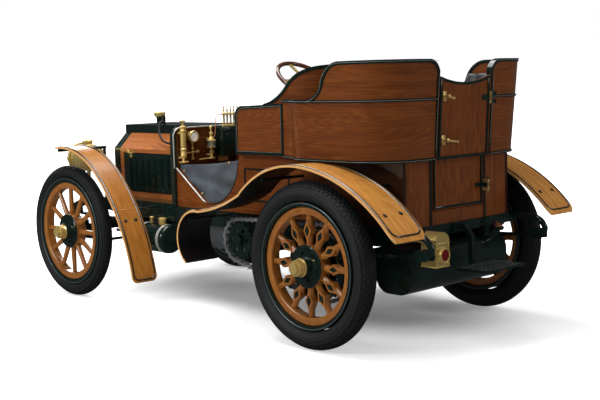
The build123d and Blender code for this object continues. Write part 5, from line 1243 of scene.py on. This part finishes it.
# Headlamps: spun brass bowls with a hinged glass door, a chimney and a wing nut below.
# The flat glass is cut in and held by the rim.
BOWL_Y, BOWL_Z, GLASS_HALF = 0.425, 0.935, 0.0915
LENS_ZONE = ((0.30, 0.34, 0.36), (0.42, 0.46, 0.48), 0.04, 0.55)
DOOR_RING = ((0.236, 0.1050), (0.238, 0.1085), (0.246, 0.1100), (0.256, 0.1085), (0.260, 0.1040))
BOWL_RING = ((0.106, 0.0962), (0.108, 0.0990), (0.114, 0.0990), (0.116, 0.0962))
CHIMNEY_TOP = (
    (1.050, 0.0365), (1.052, 0.041), (1.058, 0.041), (1.062, 0.034), (1.068, 0.020), (1.071, 0.0005),
)
CHIMNEY_RING = ((1.020, 0.0362), (1.022, 0.0395), (1.028, 0.0395), (1.030, 0.0362))
glass_place = within(
    x=(station(2.7470), station(2.7575)), z=(BOWL_Z - GLASS_HALF, BOWL_Z + GLASS_HALF)
)
bowl_brass = (toned(BRASS, 0.80), BRASS, 0.20, POLISH)
dress(zoned("headlamp_brass", bowl_brass, (*LENS_ZONE, glass_place)), "headlamps")
grown = bmesh.new()
for sides in SIDES:
    bowl = facing((station(2.500), sides * BOWL_Y, BOWL_Z), FORWARD)
    chimney = upright(station(2.650), sides * BOWL_Y, 0.0)
    turned(grown, DOOR_RING, bowl, 48)
    turned(grown, BOWL_RING, bowl, 48)
    turned(grown, CHIMNEY_TOP, chimney)
    turned(grown, CHIMNEY_RING, chimney)
    for angle in (90, -90):
        across_door = bowl @ Matrix.Rotation(radians(angle), 4, "Z")
        block(grown, across_door @ upright(0, 0.109, 0.248), (0.020, 0.014, 0.020), 0.003)
new_piece("headlamp_rings", grown, [brass])

# Steering wheel: a polished dark wood rim on a brass spider.
# The boss carries a brass nut over the column.
RIM_WOOD = ((0.040, 0.014, 0.007), (0.085, 0.030, 0.014), 0.22, 0.0)
HUB_AT = (station(1.030), -0.250, 1.455)
SPIDER_REACH = 0.183
COLUMN_RAKE = radians(35)
STEERING_NUT = (
    (0.012, 0.028), (0.020, 0.028), (0.023, 0.019), (0.034, 0.019), (0.038, 0.012), (0.039, 0.0005),
)


def on_spider(tree, x, y, z):
    """1 on the spider, inside the wooden rim."""
    return calc(tree, "LESS_THAN", distance(tree, place_of(tree), HUB_AT), SPIDER_REACH)


dress(zoned("steering_wood_and_brass", RIM_WOOD, (*BRASS_ZONE, on_spider)), "steering_wheel")
grown = bmesh.new()
turned(grown, STEERING_NUT, facing(HUB_AT, (-sin(COLUMN_RAKE), 0, cos(COLUMN_RAKE))), 6)
new_piece("steering_nut", grown, [brass], "steering_wheel")

# Side tank straps and tap: plated iron straps are drawn tight round the tank and bolted to its iron.
# A turned brass tap draws the tank off below, and two hexagon caps close its fillers.
TANK_Y, TANK_Z = 0.475, 0.430
STRAP = ((-0.013, 0.0945), (-0.013, 0.0975), (0.013, 0.0975), (0.013, 0.0945))
TAP = (
    (0, 0.012), (0.006, 0.012), (0.008, 0.007), (0.030, 0.007), (0.032, 0.010), (0.046, 0.010),
    (0.048, 0.006), (0.056, 0.006),
)
grown = bmesh.new()
for s in (1.640, 1.860):
    turned(grown, STRAP, facing((station(s), TANK_Y, TANK_Z), FORWARD), 56)
    dome(grown, Vector((station(s), 0.572, TANK_Z)), (0, 1, 0), 0.006)
new_piece("side_tank_straps", grown, [nickel])
grown = bmesh.new()
tap = facing((station(1.750), 0.545, 0.372), (0, 0.75, -0.66))
turned(grown, TAP, tap, 18)
rod(grown, tap @ Vector((-0.020, 0, 0.039)), tap @ Vector((0.020, 0, 0.039)), 0.004, 10)
for s, radius in ((1.680, 0.027), (1.800, 0.013)):
    wide = radius * 1.12
    cap = [(0, radius), (0.004, wide), (0.010, wide), (0.013, radius * 0.8), (0.014, 0.0005)]
    turned(grown, cap, upright(station(s), 0.485, 0.558), 6)
new_piece("side_tank_tap", grown, [brass])

# Step tread: a cast iron plate with raised diamonds, so that a wet sole holds.
# It is screwed down on the step's iron and worn bright by boots.
TREAD_REAR, TREAD_RIGHT, TREAD_Z = -0.735, -0.161, 0.4302
DIAMOND = (0.018, 0.0048, 0.0024)
worn_steel = polished("worn_steel", (0.24, 0.245, 0.25), 0.34)
grown = bmesh.new()
for i in range(8):
    for j in range(15):
        spot = upright(station(TREAD_REAR + 0.0255 * i), TREAD_RIGHT + 0.023 * j, TREAD_Z)
        slant = Matrix.Rotation(radians(45 if (i + j) % 2 else -45), 4, "Z")
        block(grown, spot @ slant, DIAMOND, 0.0008)
new_piece("step_diamonds", grown, [worn_steel])

# Side moulding: a frame of half-round wood planted on the lower body side behind the entry.
# It is glued and pinned to the panel and painted dark green.
MOULDING_Y, MOULDING_THICK = 0.4615, 0.008
# Station and height of each strip's middle, its length and its height
STRIPS = (
    (0.650, 0.930, 0.400, 0.012),
    (0.846, 0.835, 0.012, 0.190),
    (0.454, 0.835, 0.012, 0.190),
    (0.650, 0.740, 0.400, 0.012),
)
grown = bmesh.new()
for sides in SIDES:
    for s, z, length, height in STRIPS:
        place = upright(station(s), sides * MOULDING_Y, z)
        block(grown, place, (length, MOULDING_THICK, height), 0.003)
new_piece("side_moulding", grown, [green])

# Door panels and hinges: upright mahogany boards framed like the body, with a painted belt moulding.
# Iron hinge leaves are bolted through, painted green, and turn on brass knuckles.
KNUCKLE_Y = (-0.2265, -0.2095)
KNUCKLE_X = (-FAR, station(-0.4395))
BELT_ZONE = within(z=(1.0105, 1.0262), x=(-FAR, station(-0.4380)))
LOW_LEAF = within(z=(0.81, 0.87), x=(-FAR, door_face(0.8, 0.0008)))
HIGH_LEAF = within(z=(1.318, 1.350), x=(-FAR, door_face(1.334, -0.004)), y=(-FAR, -0.150))
LOW_KNUCKLE = within(x=KNUCKLE_X, y=KNUCKLE_Y, z=(0.768, 0.892))
HIGH_KNUCKLE = within(x=KNUCKLE_X, y=KNUCKLE_Y, z=(1.260, 1.384))


def door_marks(tree, bsdf, colour, x, y, z):
    """Green belt moulding and hinge leaves, and brass knuckles."""
    for rule in (BELT_ZONE, LOW_LEAF, HIGH_LEAF):
        colour = mixed(tree, rule(tree, x, y, z), colour, GREEN[1])
    knuckles = [rule(tree, x, y, z) for rule in (LOW_KNUCKLE, HIGH_KNUCKLE)]
    knuckles = calc(tree, "MAXIMUM", *knuckles)
    feed(tree, bsdf, {"Metallic": knuckles})
    return mixed(tree, knuckles, colour, BRASS)


door_wood = wooden("door_wood", (2.0, 18, 1.6), MAHOGANY, 0.38, 0.6, 1.0, door_marks, PANEL_RELIEF)
dress(door_wood, "rear_door")
door_knuckles, bonnet_hinges = within(y=KNUCKLE_Y), within(x=(0.0, FAR))
hinge_zones = [(*BRASS_ZONE, rule) for rule in (door_knuckles, bonnet_hinges)]
dress(zoned("hinge_iron_and_brass", GREEN_GROUND, *hinge_zones), "hinges")

# Fender irons: round iron stays, forged flat at the ends, bolted to the frame and painted dark green.
# Where one lies in the face of a front fender it is varnished over with the board.
# Inside the board the stay takes the front board's darkened ash, with its painted shade.
ASH_ZONE = (*FRONT_ASH_PAINTED_SHADE[:2], 0.4, 0.0)
in_board = within(side=(0.630, FAR), z=(-FAR, 0.70), x=(station(1.70), station(1.80)))
dress(zoned("fender_iron", GREEN_GROUND, (*ASH_ZONE, in_board)), "fender_stays")

# Water hose: black rubber pushed over a green stub on the deck and held there by its bead.
# It runs down over the chamfer board to the dash.
HOSE_STUB = (
    (1.169, 0.017), (1.174, 0.017), (1.176, 0.011), (1.212, 0.011), (1.214, 0.013), (1.220, 0.013),
    (1.222, 0.001),
)
HOSE = (
    (2.020, 0.1995, 1.196), (2.020, 0.222, 1.192), (2.015, 0.240, 1.160), (1.985, 0.262, 1.112),
    (1.920, 0.286, 1.068), (1.840, 0.300, 1.050), (1.740, 0.303, 1.050), (1.640, 0.303, 1.056),
    (1.5705, 0.303, 1.060),
)
grown = bmesh.new()
turned(grown, HOSE_STUB, upright(station(2.020), 0.190, 0.0), 20)
new_piece("hose_stub", grown, [green])
hose = wire("water_hose", [[(station(s), y, z) for s, y, z in HOSE]], 0.0075, rubber)

# Hub bolts: hexagon nuts round each turned hub flange, drawn up against the spokes.
# Behind the rear spokes a sheet web closes the brake drum that carries the sprocket.
BOLT_CIRCLE, FLANGE_Y = 0.078, 0.7815
NUT = (
    (0, 0.0105), (0.007, 0.0105), (0.0085, 0.009), (0.0085, 0.0055), (0.013, 0.005),
    (0.0135, 0.0005),
)
FLANGE_RING = (
    (0.0345, 0.094), (0.0395, 0.0965), (0.0410, 0.103), (0.0385, 0.106), (0.0400, 0.111),
    (0.0380, 0.1165), (0.0345, 0.118),
)
CAP_RIDGE = ((0.046, 0.050), (0.053, 0.0515), (0.053, 0.057), (0.046, 0.059))
DRUM_WEB = ((0.107, 0.062), (0.107, 0.162), (0.113, 0.162), (0.113, 0.062), (0.107, 0.062))
for end, hand, x, z, sides in WHEELS:
    grown = bmesh.new()
    for bolt in range(6):
        angle = radians(60 * bolt + 15)
        out, rise = BOLT_CIRCLE * cos(angle), BOLT_CIRCLE * sin(angle)
        turned(grown, NUT, facing((x + out, sides * FLANGE_Y, z + rise), (0, sides, 0)), 6)
    axle = facing((x, sides * WHEEL_Y, z), (0, sides, 0))
    turned(grown, FLANGE_RING, axle, 64)
    turned(grown, CAP_RIDGE, axle, 48)
    if end == "rear":
        turned(grown, DRUM_WEB, facing((x, sides * WHEEL_Y, z), (0, -sides, 0)), 64)
    wheel = f"{end}_wheel_{hand}"
    new_piece(f"hub_bolts_{wheel}", grown, [green], wheel)

# Frame rivets: domed heads in two rows along the pressed side rails.
# They are closed hot and painted over with the frame.
RIVET_ROWS, RIVET_FIRST, RIVET_STEP = (0.582, 0.640), -0.36, 0.083
grown = bmesh.new()
for sides in SIDES:
    for step in range(34):
        for z in RIVET_ROWS:
            start = (station(RIVET_FIRST + RIVET_STEP * step), sides * 1.5, z)
            hit, place, normal = met("frame_rails", start, (0, -sides, 0))
            if hit and abs(normal.y) > 0.9 and abs(place.y) > 0.44:
                dome(grown, place, (0, sides, 0), 0.0052, 10)
new_piece("rail_rivets", grown, [green])
